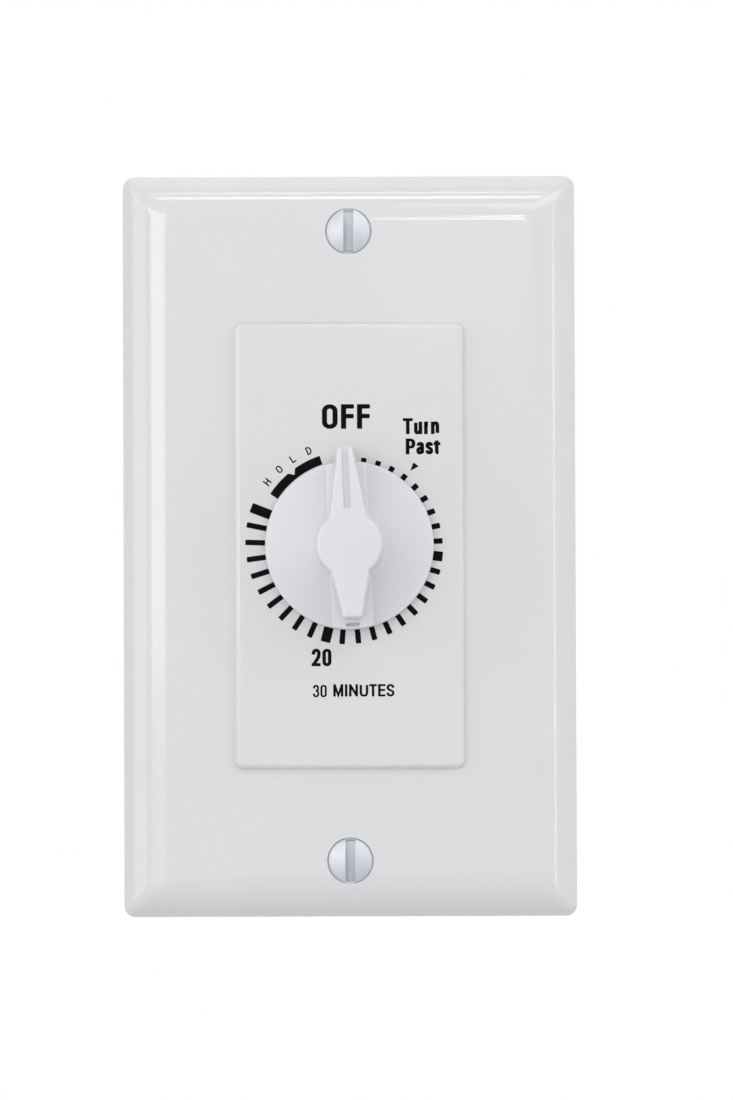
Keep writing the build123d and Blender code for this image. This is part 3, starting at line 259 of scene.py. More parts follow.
@dataclass(frozen=True)
class MouldedPlastic:
    """Injection moulded plastic: faint clouding, orange peel and handling marks."""

    name: str
    colour: Point3
    roughness: float
    cloud: float = 0.015
    peel: float = 0.006
    coat: float = 0.0
    milkiness: float = 0.0
    clouds: Pattern = Pattern(14.0, 2.0)
    orange_peel: Pattern = Pattern(0.9, 4.0)
    rubs: Pattern = Pattern(3.5, 5.0, (1.0, 1.0, 0.35))
    rub_range: Point2 = (0.55, 0.78)
    unevenness: float = 0.03
    relief: float = 0.25
    cloud_relief: float = 0.3
    coat_roughness: float = 0.08
    scatter: float = 1.2
    scatter_tint: Point3 = (1.0, 0.95, 0.9)
    refraction: float = 1.49

    def build(self) -> Material:
        """Makes the material.

        Returns:
            The material.
        """
        s = Surface(self.name)
        cloud, peel = s.noise(self.clouds), s.noise(self.orange_peel)
        rubs = s.ramp(s.noise(self.rubs), *self.rub_range)
        return s.finish(
            Base_Color=s.blend(cloud, toned(self.colour, 1 - self.cloud), toned(self.colour, 1 + self.cloud)),
            Roughness=self.roughness + self.unevenness * cloud + self.unevenness * rubs,
            Coat_Weight=self.coat,
            Coat_Roughness=self.coat_roughness,
            Subsurface_Weight=self.milkiness,
            Subsurface_Scale=self.scatter * MM,
            Subsurface_Radius=self.scatter_tint,
            IOR=self.refraction,
            Normal=s.bump(peel + self.cloud_relief * cloud, self.relief, self.peel),
        )


@dataclass(frozen=True)
class PrintedInk:
    """Pad printed ink, a little thin and uneven."""

    name: str
    colour: Point3
    roughness: float = 0.42
    mottle: Pattern = Pattern(0.35, 4.0)
    thinning: float = 0.003
    sheen: float = 0.04
    unevenness: float = 0.12
    relief: float = 0.2
    film: float = 0.004

    def build(self) -> Material:
        """Makes the material.

        Returns:
            The material.
        """
        s = Surface(self.name)
        mottle = s.noise(self.mottle)
        return s.finish(
            Base_Color=s.blend(mottle, self.colour, tuple(c + self.thinning for c in self.colour)),
            Specular_IOR_Level=self.sheen,
            Roughness=self.roughness + self.unevenness * mottle,
            Normal=s.bump(mottle, self.relief, self.film),
        )


class Grain(Enum):
    """The direction that a metal's marks run in."""

    NONE = (1.0, 1.0, 1.0)
    UPRIGHT = (1.0, 1.0, 0.06)
    ACROSS = (0.06, 1.0, 1.0)
    DEPTH = (1.0, 0.06, 1.0)


@dataclass(frozen=True)
class Metal:
    """Rolled, turned or plated metal with grain, mottling and a few darker spots."""

    name: str
    colour: Point3
    roughness: float
    grain: Grain = Grain.NONE
    mottle: float = 0.12
    scratch: float = 0.004
    clouds: Pattern = Pattern(4.0, 4.0)
    lines: Pattern = Pattern(0.28, 3.0)
    spots: Pattern = Pattern(1.1, 5.0)
    spot_range: Point2 = (0.62, 0.76)
    line_share: float = 0.3
    line_roughness: float = 0.10
    spot_roughness: float = 0.12
    relief: float = 0.3

    def build(self) -> Material:
        """Makes the material.

        Returns:
            The material.
        """
        s = Surface(self.name)
        cloud, lines = s.noise(self.clouds), s.noise(replace(self.lines, stretch=self.grain.value))
        spots = s.ramp(s.noise(self.spots), *self.spot_range)
        marks = cloud * (1 - self.line_share) + lines * self.line_share
        return s.finish(
            Base_Color=s.blend(marks, toned(self.colour, 1 - self.mottle), self.colour),
            Metallic=1.0,
            Roughness=self.roughness + self.line_roughness * lines + self.spot_roughness * spots,
            Normal=s.bump(lines, self.relief, self.scratch),
        )


@dataclass(frozen=True)
class Phenolic:
    """Compression moulded black phenolic with pale filler specks and flow marks."""

    name: str
    colour: Point3
    roughness: float = 0.34
    speck: Point3 = (0.11, 0.10, 0.09)
    specks: Pattern = Pattern(0.5, 6.0)
    speck_range: Point2 = (0.60, 0.74)
    speck_share: float = 0.8
    speck_roughness: float = 0.1
    speck_relief: float = 0.4
    flow: Pattern = Pattern(6.0, 3.0, (1.0, 0.4, 1.0))
    flow_roughness: float = 0.14
    relief: float = 0.3
    texture: float = 0.012

    def build(self) -> Material:
        """Makes the material.

        Returns:
            The material.
        """
        s = Surface(self.name)
        specks = s.ramp(s.noise(self.specks), *self.speck_range)
        flow = s.noise(self.flow)
        return s.finish(
            Base_Color=s.blend(specks * self.speck_share, self.colour, self.speck),
            Roughness=self.roughness + self.flow_roughness * flow + self.speck_roughness * specks,
            Normal=s.bump(specks * self.speck_relief + flow, self.relief, self.texture),
        )


@dataclass(frozen=True)
class Fibre:
    """Vulcanised fibre: matted strands with a dull sheen."""

    name: str
    colour: Point3
    roughness: float = 0.6
    mottle: float = 0.28
    strands: Pattern = Pattern(0.7, 6.0, (1.0, 1.0, 0.25))
    clouds: Pattern = Pattern(5.0, 3.0)
    cloud_share: float = 0.4
    strand_roughness: float = 0.2
    relief: float = 0.4
    texture: float = 0.02

    def build(self) -> Material:
        """Makes the material.

        Returns:
            The material.
        """
        s = Surface(self.name)
        strands, cloud = s.noise(self.strands), s.noise(self.clouds)
        marks = strands * (1 - self.cloud_share) + cloud * self.cloud_share
        return s.finish(
            Base_Color=s.blend(marks, toned(self.colour, 1 - self.mottle), self.colour),
            Roughness=self.roughness + self.strand_roughness * strands,
            Normal=s.bump(strands, self.relief, self.texture),
        )


@dataclass(frozen=True)
class StageWhite:
    """Plain white that the camera and reflections see lit from within, and that keeps a shadow."""

    name: str
    shade: float
    glow: float

    def build(self) -> Material:
        """Makes the material.

        Returns:
            The material.
        """
        s = Surface(self.name)
        matte = s.node("ShaderNodeBsdfDiffuse", inputs={"Color": (*toned(WHITE[:3], self.shade), 1.0)})
        white = s.node("ShaderNodeEmission", inputs={"Color": WHITE, "Strength": 1.0})
        inputs = {0: s.seen() * self.glow, 1: matte.outputs[0], 2: white.outputs[0]}
        mixed = s.node("ShaderNodeMixShader", inputs=inputs)
        s.node("ShaderNodeOutputMaterial", inputs={"Surface": mixed.outputs[0]})
        return s.material


@dataclass
class FinishShelf:
    """Every finish of the switch, each made once and found by name."""

    plate: MouldedPlastic = MouldedPlastic("plate_white", (0.70, 0.70, 0.715), 0.10, peel=0.0012, coat=0.6)
    knob: MouldedPlastic = MouldedPlastic(
        "knob_white", (0.72, 0.73, 0.755), 0.34, peel=0.004, milkiness=0.35, orange_peel=Pattern(0.6, 4.0)
    )
    ink: PrintedInk = PrintedInk("dial_ink", (0.002, 0.002, 0.0025))
    zinc_bright: Metal = Metal("bright_zinc", (0.625, 0.645, 0.68), 0.50, Grain.UPRIGHT)
    # The slot floor's zinc is the bright zinc painted darker: painted shade in the recessed slot. Its
    # stronger mottling and scratches are the metal's own marks.
    shaded_slot_zinc: Metal = Metal("shaded_slot_zinc", (0.575, 0.60, 0.64), 0.5, Grain.UPRIGHT, 0.25, 0.01)
    zinc_sheet: Metal = Metal("zinc_sheet", (0.62, 0.63, 0.65), 0.36, Grain.UPRIGHT, 0.2)
    steel: Metal = Metal("turned_steel", (0.52, 0.53, 0.55), 0.28, Grain.DEPTH)
    spring: Metal = Metal("spring_steel", (0.22, 0.24, 0.29), 0.30, Grain.ACROSS)
    brass: Metal = Metal("yellow_brass", (0.78, 0.58, 0.26), 0.26, Grain.NONE, 0.18)
    strip: Metal = Metal("terminal_brass", (0.72, 0.53, 0.25), 0.32, Grain.ACROSS, 0.2)
    silver: Metal = Metal("contact_silver", (0.84, 0.84, 0.85), 0.2)
    green: MouldedPlastic = MouldedPlastic("ground_green", (0.02, 0.22, 0.07), 0.3, cloud=0.2, peel=0.01)
    nylon: MouldedPlastic = MouldedPlastic("cam_nylon", (0.78, 0.75, 0.66), 0.4, cloud=0.04)
    phenolic: Phenolic = Phenolic("housing_black", (0.018, 0.018, 0.020))
    paper: Fibre = Fibre("insulating_fibre", (0.30, 0.32, 0.31))
    washer: Fibre = Fibre("washer_fibre", (0.42, 0.07, 0.05))
    made: dict[str, Material] = field(default_factory=dict)

    def get(self, name: str) -> Material:
        """Finds a finish, and makes it on first use.

        Args:
            name: Its field's name.

        Returns:
            Its material.
        """
        if name not in self.made:
            self.made[name] = getattr(self, name).build()
        return self.made[name]


# Mesh making


def arc(centre: Point2, radius: float, start: float, end: float, steps: int) -> list[Point2]:
    """Points on an arc, with angles in degrees counted from the first axis."""
    angles = (radians(start + (end - start) * k / steps) for k in range(steps + 1))
    return [(centre[0] + radius * cos(a), centre[1] + radius * sin(a)) for a in angles]


def circle(radius: float, steps: int, centre: Point2 = (0.0, 0.0)) -> list[Point2]:
    """Points once round a circle."""
    return arc(centre, radius, 0.0, 360.0, steps)[:-1]


def box_outline(half: float, low: float, high: float) -> list[Point2]:
    """The corners of a box that is centred on the second axis."""
    return [(-half, low), (half, low), (half, high), (-half, high)]


def rounded_outline(
    half_w: float, half_h: float, radius: float, hold: float = 0.0, steps: int = 8
) -> list[Point2]:
    """A rectangle with round corners.

    Args:
        half_w: Half its width.
        half_h: Half its height.
        radius: The corners' radius.
        hold: How far beside each corner one more point lies on the straight, or 0 for none.
        steps: The sides of each corner.

    Returns:
        Its points once round.
    """
    points: list[Point2] = []
    for quarter, (side_x, side_z) in enumerate(CORNERS):
        start = 90 * quarter
        bend = arc((side_x * (half_w - radius), side_z * (half_h - radius)), radius, start, start + 90, steps)
        if hold:
            turn_x, turn_z = cos(radians(start)), sin(radians(start))
            bend.insert(0, (bend[0][0] + hold * turn_z, bend[0][1] - hold * turn_x))
            bend.append((bend[-1][0] - hold * turn_x, bend[-1][1] - hold * turn_z))
        points += bend
    return points


class MeshKit:
    """Gathers points and faces in millimetres and turns them into a mesh."""

    def __init__(self) -> None:
        """Starts with nothing."""
        self.points: list[Point3] = []
        self.faces: list[tuple[int, ...]] = []

    def ring(self, points: Iterable[Point3]) -> list[int]:
        """Adds points.

        Args:
            points: The points.

        Returns:
            Their numbers.
        """
        start = len(self.points)
        self.points.extend(points)
        return list(range(start, len(self.points)))

    def level(self, outline: Iterable[Point2], y: float) -> list[int]:
        """Adds an outline at one depth and returns its points' numbers."""
        return self.ring((x, y, z) for x, z in outline)

    def skin(self, rings: Sequence[Sequence[int]]) -> None:
        """Joins a row of equally long rings with quads.

        Args:
            rings: The rings' point numbers.
        """
        for first, second in zip(rings, rings[1:]):
            for index, point in enumerate(first):
                other = (index + 1) % len(first)
                self.faces.append((point, first[other], second[other], second[index]))

    def capped(self, rings: Sequence[Sequence[int]]) -> None:
        """Joins a row of rings and closes both of its ends."""
        self.skin(rings)
        self.faces += [tuple(rings[0]), tuple(rings[-1])]

    def flat(self, loops: Sequence[Sequence[Point2]], y: float) -> None:
        """Fills a flat face at one depth.

        Args:
            loops: Its outline first, then its holes.
            y: Its depth.
        """
        numbers = [n for loop in loops for n in self.level(loop, y)]
        shape = [[Vector((x, z, 0.0)) for x, z in loop] for loop in loops]
        for triangle in tessellate_polygon(shape):
            self.faces.append(tuple(numbers[i] for i in triangle))

    def turn(self, profile: Iterable[Point2], segments: int, centre: Point2 = (0.0, 0.0)) -> None:
        """Turns a closed profile about an axis along Y.

        Args:
            profile: Radius and depth, once round.
            segments: The sides of the turned shape.
            centre: The axis's place.
        """
        angles = [2 * pi * k / segments for k in range(segments)]
        rings = [
            self.ring((centre[0] + radius * cos(a), y, centre[1] + radius * sin(a)) for a in angles)
            for radius, y in profile
        ]
        self.skin([*rings, rings[0]])

    def prism(self, outline: Sequence[Point2], back: float, front: float) -> None:
        """A closed solid with one outline from back to front."""
        self.capped([self.level(outline, back), self.level(outline, front)])

    def mesh(self, name: str, sharp: float = 30.0) -> Mesh:
        """Makes a closed, outward facing and smoothly shaded mesh in metres.

        Args:
            name: Its name.
            sharp: Edges steeper than this, in degrees, stay sharp.

        Returns:
            The mesh.
        """
        made = bpy.data.meshes.new(name)
        made.from_pydata([tuple(c * MM for c in p) for p in self.points], [], self.faces)
        return tidy_mesh(made, sharp)


def shade(mesh: Mesh, sharp: float) -> Mesh:
    """Smooths a mesh, keeping its steep edges sharp.

    Args:
        mesh: The mesh, changed in place.
        sharp: Edges steeper than this, in degrees, stay sharp.

    Returns:
        The same mesh.
    """
    mesh.polygons.foreach_set("use_smooth", [True] * len(mesh.polygons))
    mesh.set_sharp_from_angle(angle=radians(sharp))
    return mesh


def tidy_mesh(mesh: Mesh, sharp: float = 30.0, merge: float = 0.0005) -> Mesh:
    """Merges doubles, points faces outwards and smooths below an angle.

    Args:
        mesh: The mesh, changed in place.
        sharp: Edges steeper than this, in degrees, stay sharp.
        merge: Points closer than this, in millimetres, become one.

    Returns:
        The same mesh.
    """
    shape = bmesh.new()
    shape.from_mesh(mesh)
    bmesh.ops.remove_doubles(shape, verts=shape.verts, dist=merge * MM)
    bmesh.ops.dissolve_degenerate(shape, edges=shape.edges, dist=merge * MM / 5)
    bmesh.ops.recalc_face_normals(shape, faces=shape.faces)
    shape.to_mesh(mesh)
    shape.free()
    return shade(mesh, sharp)


def placed(name: str, data: bpy.types.ID) -> Object:
    """Puts data in the scene.

    Args:
        name: The object's name.
        data: What it holds.

    Returns:
        The new object.
    """
    made = bpy.data.objects.new(name, data)
    bpy.context.scene.collection.objects.link(made)
    return made


def add_piece(
    name: str, mesh: Mesh, materials: Sequence[Material], body: str, slot: str, *nodes: str
) -> Object:
    """Adds a finished piece that rides on a body.

    Args:
        name: The piece's name.
        mesh: Its mesh, in place.
        materials: Its finishes, in the order of its faces' material numbers.
        body: The body that it moves with.
        slot: The record's material slot; not used.
        nodes: CAD nodes that it stands for.

    Returns:
        The new object.
    """
    numbers = [face.material_index for face in mesh.polygons]
    mesh.materials.clear()
    for material in materials:
        mesh.materials.append(material)
    mesh.polygons.foreach_set("material_index", numbers)
    made = placed(name, mesh)
    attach(made, body)
    if nodes:
        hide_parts(*nodes)
    return made


def joined(name: str, meshes: Iterable[Mesh]) -> Mesh:
    """Puts several meshes in one.

    Args:
        name: The new mesh's name.
        meshes: The meshes.

    Returns:
        The new mesh.
    """
    shape = bmesh.new()
    for mesh in meshes:
        shape.from_mesh(mesh)
    made = bpy.data.meshes.new(name)
    shape.to_mesh(made)
    shape.free()
    return made


def flattened(holder: Object) -> Mesh:
    """Makes what an object's modifiers give a plain mesh.

    Args:
        holder: The object, which goes.

    Returns:
        The new mesh.
    """
    evaluated = holder.evaluated_get(bpy.context.evaluated_depsgraph_get())
    made = bpy.data.meshes.new_from_object(evaluated)
    holder.modifiers.clear()
    bpy.data.objects.remove(holder)
    return made


def finished(mesh: Mesh, *modifiers: tuple[str, dict]) -> Mesh:
    """Carries a mesh through modifiers.

    Args:
        mesh: The mesh.
        modifiers: Their types and settings.

    Returns:
        The result, as a new mesh.
    """
    holder = placed(mesh.name, mesh)
    for kind, settings in modifiers:
        modifier = holder.modifiers.new(kind.title(), kind)
        for name, value in settings.items():
            setattr(modifier, name, value)
    return flattened(holder)


def carved(base: Mesh, *steps: tuple[str, Mesh]) -> Mesh:
    """Carries a mesh through boolean steps.

    Args:
        base: A closed mesh.
        steps: UNION or DIFFERENCE, each with the closed mesh that it uses.

    Returns:
        The result, as a new mesh.
    """
    tools = [placed(mesh.name, mesh) for _, mesh in steps]
    settings = [
        ("BOOLEAN", {"operation": operation, "object": tool, "solver": "EXACT"})
        for (operation, _), tool in zip(steps, tools)
    ]
    made = finished(base, *settings)
    for tool in tools:
        bpy.data.objects.remove(tool)
    return made


def softened(mesh: Mesh, width: float, segments: int, limit: float = 40.0) -> Mesh:
    """The mesh with every edge steeper than a limit in degrees rounded."""
    limits = {"limit_method": "ANGLE", "angle_limit": radians(limit)}
    return finished(mesh, ("BEVEL", {"width": width * MM, "segments": segments, **limits}))


class GeometryTree(Graph):
    """A Geometry Nodes tree with named inputs that ends in one plain mesh."""

    def __init__(self, name: str, inputs: dict[str, float | int]) -> None:
        """Makes the tree and its inputs.

        Args:
            name: Its name.
            inputs: The named inputs' values, in metres and radians. A whole number is a count.
        """
        self.group = bpy.data.node_groups.new(name, "GeometryNodeTree")
        super().__init__(self.group)
        interface = self.group.interface
        interface.new_socket("Geometry", in_out="OUTPUT", socket_type="NodeSocketGeometry")
        self.values: dict[str, float | int] = {}
        for label, value in inputs.items():
            kind = "NodeSocketInt" if isinstance(value, int) else "NodeSocketFloat"
            socket = interface.new_socket(label, in_out="INPUT", socket_type=kind)
            self.values[socket.identifier] = value
        self.entry = self.node("NodeGroupInput")

    def given(self, label: str) -> Value:
        """One named input."""
        return self.value(self.entry, label)

    def vector(self, x: object, y: object, z: object) -> NodeSocket:
        """A vector from three values."""
        return self.node("ShaderNodeCombineXYZ", inputs={0: x, 1: y, 2: z}).outputs[0]

    def together(self, first: Node, second: Node) -> NodeSocket:
        """Joins what two nodes make.

        Args:
            first: A node whose first output is a geometry.
            second: Another.

        Returns:
            The joined geometry.
        """
        both = self.node("GeometryNodeJoinGeometry")
        for node in (first, second):
            self.tree.links.new(node.outputs[0], both.inputs[0])
        return both.outputs[0]

    def result(self, geometry: NodeSocket, material: Material) -> Mesh:
        """Ends the tree and returns what it makes.

        Args:
            geometry: The socket that holds the pieces.
            material: The finish that they get.

        Returns:
            A plain mesh, with no modifier left.
        """
        real = self.node("GeometryNodeRealizeInstances", inputs={0: geometry})
        dressed = self.node("GeometryNodeSetMaterial", inputs={0: real.outputs[0], "Material": material})
        self.node("NodeGroupOutput", inputs={0: dressed.outputs[0]})
        holder = placed(self.group.name, bpy.data.meshes.new(self.group.name))
        modifier = holder.modifiers.new("Nodes", "NODES")
        modifier.node_group = self.group
        for identifier, value in self.values.items():
            modifier[identifier] = value
        return flattened(holder)


# Wall plate


@dataclass
class WallPlate:
    """The one piece moulding: crowned edge, raised dial panel, hollow back and bosses."""

    shelf: FinishShelf
    width: float = 69.85
    height: float = 114.3
    depth: float = 6.0
    wall: float = 2.0
    corner: float = 1.75
    corner_soft: float = 0.8
    corner_growth: float = 0.2
    rim: float = 2.1
    crown: float = 3.27
    shoulder: float = 8.0
    shoulder_steps: int = 20
    rim_round: float = 0.5
    panel_width: float = 35.5
    panel_height: float = 68.7
    panel_rise: float = 1.2
    panel_draft: float = 15.0
    panel_corner: float = 1.3
    panel_corner_least: float = 0.15
    panel_edge: float = 0.75
    panel_foot: float = 0.1
    screw_place: float = 48.42
    sink_radius: float = 3.56
    sink_lip: float = 0.3
    sink_angle: float = 41.0
    sink_edge: float = 0.05
    sink_steps: int = 72
    hole_radius: float = 2.05
    boss_radius: float = 2.8
    boss_back: float = 1.3
    boss_steps: int = 48
    bore_radius: float = 5.35
    bore_steps: int = 64
    hold: float = 0.12
    sharp: float = 28.0

    def slope(self) -> float:
        """The rise of the flank for each millimetre inwards."""
        return (self.depth - self.rim) / self.crown

    def crown_height(self, inset: float) -> float:
        """The front's height along the edge.

        Args:
            inset: The way inside the outline.

        Returns:
            The height there.
        """
        lean = atan2(self.slope(), 1.0)
        reach = self.shoulder * tan(lean / 2)
        if inset >= self.crown + reach:
            return self.depth
        if inset <= self.crown - reach * cos(lean):
            return self.rim + self.slope() * inset
        return self.depth - self.shoulder + sqrt(self.shoulder**2 - (self.crown + reach - inset) ** 2)

    def edge_profile(self) -> list[Point2]:
        """The edge's section.

        Returns:
            Inset and height, from the top of the side wall to the flat front.
        """
        lean = atan2(self.slope(), 1.0)
        turn = pi / 2 - lean
        start = self.rim - self.rim_round * tan(turn / 2)
        rows = []
        for k in range(ROUND_STEPS + 1):
            a = turn * k / ROUND_STEPS
            rows.append((self.rim_round - self.rim_round * cos(a), start + self.rim_round * sin(a)))
        reach = self.shoulder * tan(lean / 2)
        insets = [rows[-1][0] + self.hold, self.crown - reach * cos(lean) - self.hold]
        for k in range(self.shoulder_steps + 1):
            insets.append(self.crown + reach - self.shoulder * sin(lean * (1 - k / self.shoulder_steps)))
        rows += [(inset, self.crown_height(inset)) for inset in insets]
        return [*rows, (self.crown + reach + self.hold, self.depth)]

    def crown_outline(self, inset: float) -> list[Point2]:
        """The outline moved inwards, whose corners stay soft."""
        radius = max(self.corner - inset, self.corner_soft + self.corner_growth * inset)
        return rounded_outline(self.width / 2 - inset, self.height / 2 - inset, radius, self.hold)

    def panel_outline(self, inset: float) -> list[Point2]:
        """The panel's outline moved inwards, with corners that shrink as they go."""
        radius = max(self.panel_corner - inset, self.panel_corner_least)
        return rounded_outline(self.panel_width / 2 - inset, self.panel_height / 2 - inset, radius)

    def panel_profile(self) -> list[Point2]:
        """The section of the panel's sides.

        Returns:
            Inset and height, from the flat round the panel to its face.
        """
        lean = radians(90 - self.panel_draft)
        foot, reach = self.panel_foot * tan(lean / 2), self.panel_edge * tan(lean / 2)
        inner = self.panel_rise * tan(radians(self.panel_draft)) + reach
        rows = [(-foot - self.hold, 0.0)]
        for k in range(ROUND_STEPS + 1):
            a = lean * k / ROUND_STEPS
            rows.append((-foot + self.panel_foot * sin(a), self.panel_foot * (1 - cos(a))))
        for k in range(ROUND_STEPS + 1):
            a = lean * (1 - k / ROUND_STEPS)
            rows.append((inner - self.panel_edge * sin(a), self.panel_rise - self.panel_edge * (1 - cos(a))))
        return [*rows, (inner + self.hold, self.panel_rise)]

    def outer_skin(self, kit: MeshKit) -> Sequence[int]:
        """Adds the side wall, flank and shoulder.

        Args:
            kit: What gathers the mesh.

        Returns:
            The ring on the wall.
        """
        rings = [kit.level(self.crown_outline(0.0), 0.0)]
        for inset, height in self.edge_profile():
            rings.append(kit.level(self.crown_outline(inset), -height))
        kit.skin(rings)
        return rings[0]

    def inner_outline(self, inset: float) -> list[Point2]:
        """The hollow's outline moved inwards."""
        back = self.wall + inset
        return rounded_outline(self.width / 2 - back, self.height / 2 - back, self.corner / 2, self.hold)

    def inner_skin(self, kit: MeshKit, back: Sequence[int]) -> float:
        """Adds the hollow's walls.

        Args:
            kit: What gathers the mesh.
            back: The ring on the wall.

        Returns:
            The inset of the hollow's flat inner face.
        """
        slope = self.slope()
        rim = self.rim + self.wall * slope - self.wall * hypot(1, slope)
        floor = self.depth - self.wall
        last = (floor - rim) / slope
        rows = ((0.0, 0.0), (0.0, rim), (last, floor))
        kit.skin([back, *(kit.level(self.inner_outline(inset), -height) for inset, height in rows)])
        return last

    def panel(self, kit: MeshKit) -> None:
        """Adds the raised panel's sides, face and shaft hole.

        Args:
            kit: What gathers the mesh.
        """
        rows = self.panel_profile()
        kit.skin([kit.level(self.panel_outline(inset), -(self.depth + height)) for inset, height in rows])
        face = self.depth + self.panel_rise
        bore = circle(self.bore_radius, self.bore_steps)
        kit.flat([self.panel_outline(rows[-1][0]), bore], -face)
        kit.skin([kit.level(bore, -y) for y in (face, face - self.wall)])

    def boss(self, kit: MeshKit, z: float) -> None:
        """Adds the boss behind a screw.

        Args:
            kit: What gathers the mesh.
            z: The screw's height.
        """
        outline = [(x, z + dz) for x, dz in circle(self.boss_radius, self.boss_steps)]
        rings = [kit.level(outline, -y) for y in (self.depth - self.wall, self.boss_back)]
        kit.skin(rings)
        kit.faces.append(tuple(rings[-1]))

    def inner_floor(self, kit: MeshKit, last: float, wells: Sequence[float]) -> None:
        """Adds the hollow's flat face and the pocket behind the panel.

        Args:
            kit: What gathers the mesh.
            last: The flat face's inset.
            wells: The screws' heights.
        """
        floor = self.depth - self.wall
        half_w, half_h = self.panel_width / 2 - self.wall, self.panel_height / 2 - self.wall
        pocket = [(sx * half_w, sz * half_h) for sx, sz in CORNERS]
        bosses = [circle(self.boss_radius, self.boss_steps, (0.0, z)) for z in wells]
        kit.flat([self.inner_outline(last), pocket, *bosses], -floor)
        deep = floor + self.panel_rise
        kit.skin([kit.level(pocket, -y) for y in (floor, deep)])
        kit.flat([pocket, circle(self.bore_radius, self.bore_steps)], -deep)

    def screw_well(self, z: float) -> Mesh:
        """The space of a countersink with its lip and hole.

        Args:
            z: The screw's height.

        Returns:
            Its mesh.
        """
        lip = self.sink_lip - self.depth
        deep = (self.sink_radius - self.hole_radius) / tan(radians(self.sink_angle))
        mouth = self.sink_radius + self.sink_edge
        rows = [(0.0, CLEAR), (self.hole_radius, CLEAR), (self.hole_radius, deep + lip)]
        rows += [(self.sink_radius, lip), (self.sink_radius, self.sink_edge - self.depth)]
        rows += [(mouth, -self.depth), (mouth, -self.depth - CLEAR), (0.0, -self.depth - CLEAR)]
        kit = MeshKit()
        kit.turn(rows, self.sink_steps, (0.0, z))
        return kit.mesh("screw_well")

    def build(self) -> Object:
        """Builds the whole moulding in place of the CAD solid.

        Returns:
            The piece.
        """
        kit = MeshKit()
        last = self.inner_skin(kit, self.outer_skin(kit))
        self.panel(kit)
        wells = (self.screw_place, -self.screw_place)
        for z in wells:
            self.boss(kit, z)
        outer = self.crown_outline(self.edge_profile()[-1][0])
        kit.flat([outer, self.panel_outline(self.panel_profile()[0][0])], -self.depth)
        self.inner_floor(kit, last, wells)
        made = carved(kit.mesh("wall_plate_shell"), *(("DIFFERENCE", self.screw_well(z)) for z in wells))
        shade(made, self.sharp)
        return add_piece(
            "wall_plate_shell", made, [self.shelf.get("plate")], "case", "plate_white", "wall_plate"
        )


# Screws


@dataclass
class Thread:
    """A rolled thread: a core with one helical ridge, made by Geometry Nodes."""

    outer: float = 1.75
    root: float = 1.36
    pitch: float = 0.794
    sides: int = 28
    tooth_sides: int = 4
    sunk: float = 0.30
    taper: float = 0.86

    def build(self, name: str, centre: Point2, start: float, end: float, material: Material) -> Mesh:
        """Makes the thread along +Y between two depths.

        Args:
            name: The tree's name.
            centre: The axis's place.
            start: Where the thread begins.
            end: Where the screw ends.
            material: Its finish.

        Returns:
            The thread's mesh.
        """
        sizes = {
            "Length": end - start,
            "Pitch": self.pitch,
            "Root Radius": self.root,
            "Outer Radius": self.outer,
        }
        tree = GeometryTree(name, {label: size * MM for label, size in sizes.items()})
        length, pitch, root, outer = (tree.given(label) for label in sizes)
        ridge = outer - root
        middle = root + ridge * self.sunk
        helix = tree.node(
            "GeometryNodeCurveSpiral",
            inputs={
                "Resolution": self.sides,
                "Rotations": (length - pitch) / pitch,
                "Start Radius": middle,
                "End Radius": middle,
                "Height": length - pitch,
            },
        )
        inputs = {"Resolution": self.tooth_sides, "Radius": ridge * (1 - self.sunk)}
        tooth = tree.node("GeometryNodeCurvePrimitiveCircle", {"mode": "RADIUS"}, inputs)
        inputs = {0: helix.outputs[0], 1: tooth.outputs[0], "Fill Caps": True}
        thread = tree.node("GeometryNodeCurveToMesh", inputs=inputs)
        inputs = {"Radius Top": root * self.taper, "Radius Bottom": root, "Depth": length}
        core = tree.node("GeometryNodeMeshCone", inputs={"Vertices": self.sides, **inputs})
        made = tree.result(tree.together(thread, core), material)
        place = Matrix.Translation((centre[0] * MM, start * MM, centre[1] * MM))
        made.transform(place @ Matrix.Rotation(-pi / 2, 4, "X"))
        return made


@dataclass
class SlottedHead:
    """A screw head turned from a profile, with a straight slot."""

    profile: Sequence[Point2]
    slot_width: float
    slot_floor: float
    upright: bool = True
    steps: int = 72
    edge: float = 0.06
    edge_steps: int = 2
    edge_limit: float = 50.0
    slack: float = 0.01
    brim: float = 0.1
    turned_sharp: float = 40.0
    sharp: float = 38.0

    def build(self, name: str, centre: Point2) -> Mesh:
        """Makes the head with its slot cut through.

        Args:
            name: The mesh's name.
            centre: The place of its axis.

        Returns:
            The head's mesh, whose slot floor has the second finish, which carries the slot's painted shade.
        """
        kit = MeshKit()
        kit.turn(self.profile, self.steps)
        front = min(y for _, y in self.profile)
        reach = max(r for r, _ in self.profile) + CLEAR
        half = self.slot_width / 2
        box = box_outline(half, -reach, reach)
        if not self.upright:
            box = [(z, x) for x, z in box]
        cutter = MeshKit()
        cutter.prism(box, self.slot_floor, front - CLEAR)
        cut = carved(kit.mesh(name, self.turned_sharp), ("DIFFERENCE", cutter.mesh("slot_cutter")))
        cut = softened(cut, self.edge, self.edge_steps, self.edge_limit)
        # The slot floor's faces get the second finish: painted shade in the slot.
        side = 0 if self.upright else 2
        for face in cut.polygons:
            inside = abs(face.center[side]) < (half + self.slack) * MM
            behind = (front + self.brim) * MM < face.center.y < (self.slot_floor + self.slack) * MM
            face.material_index = int(inside and behind)
        cut.transform(Matrix.Translation((centre[0] * MM, 0.0, centre[1] * MM)))
        return shade(cut, self.sharp)


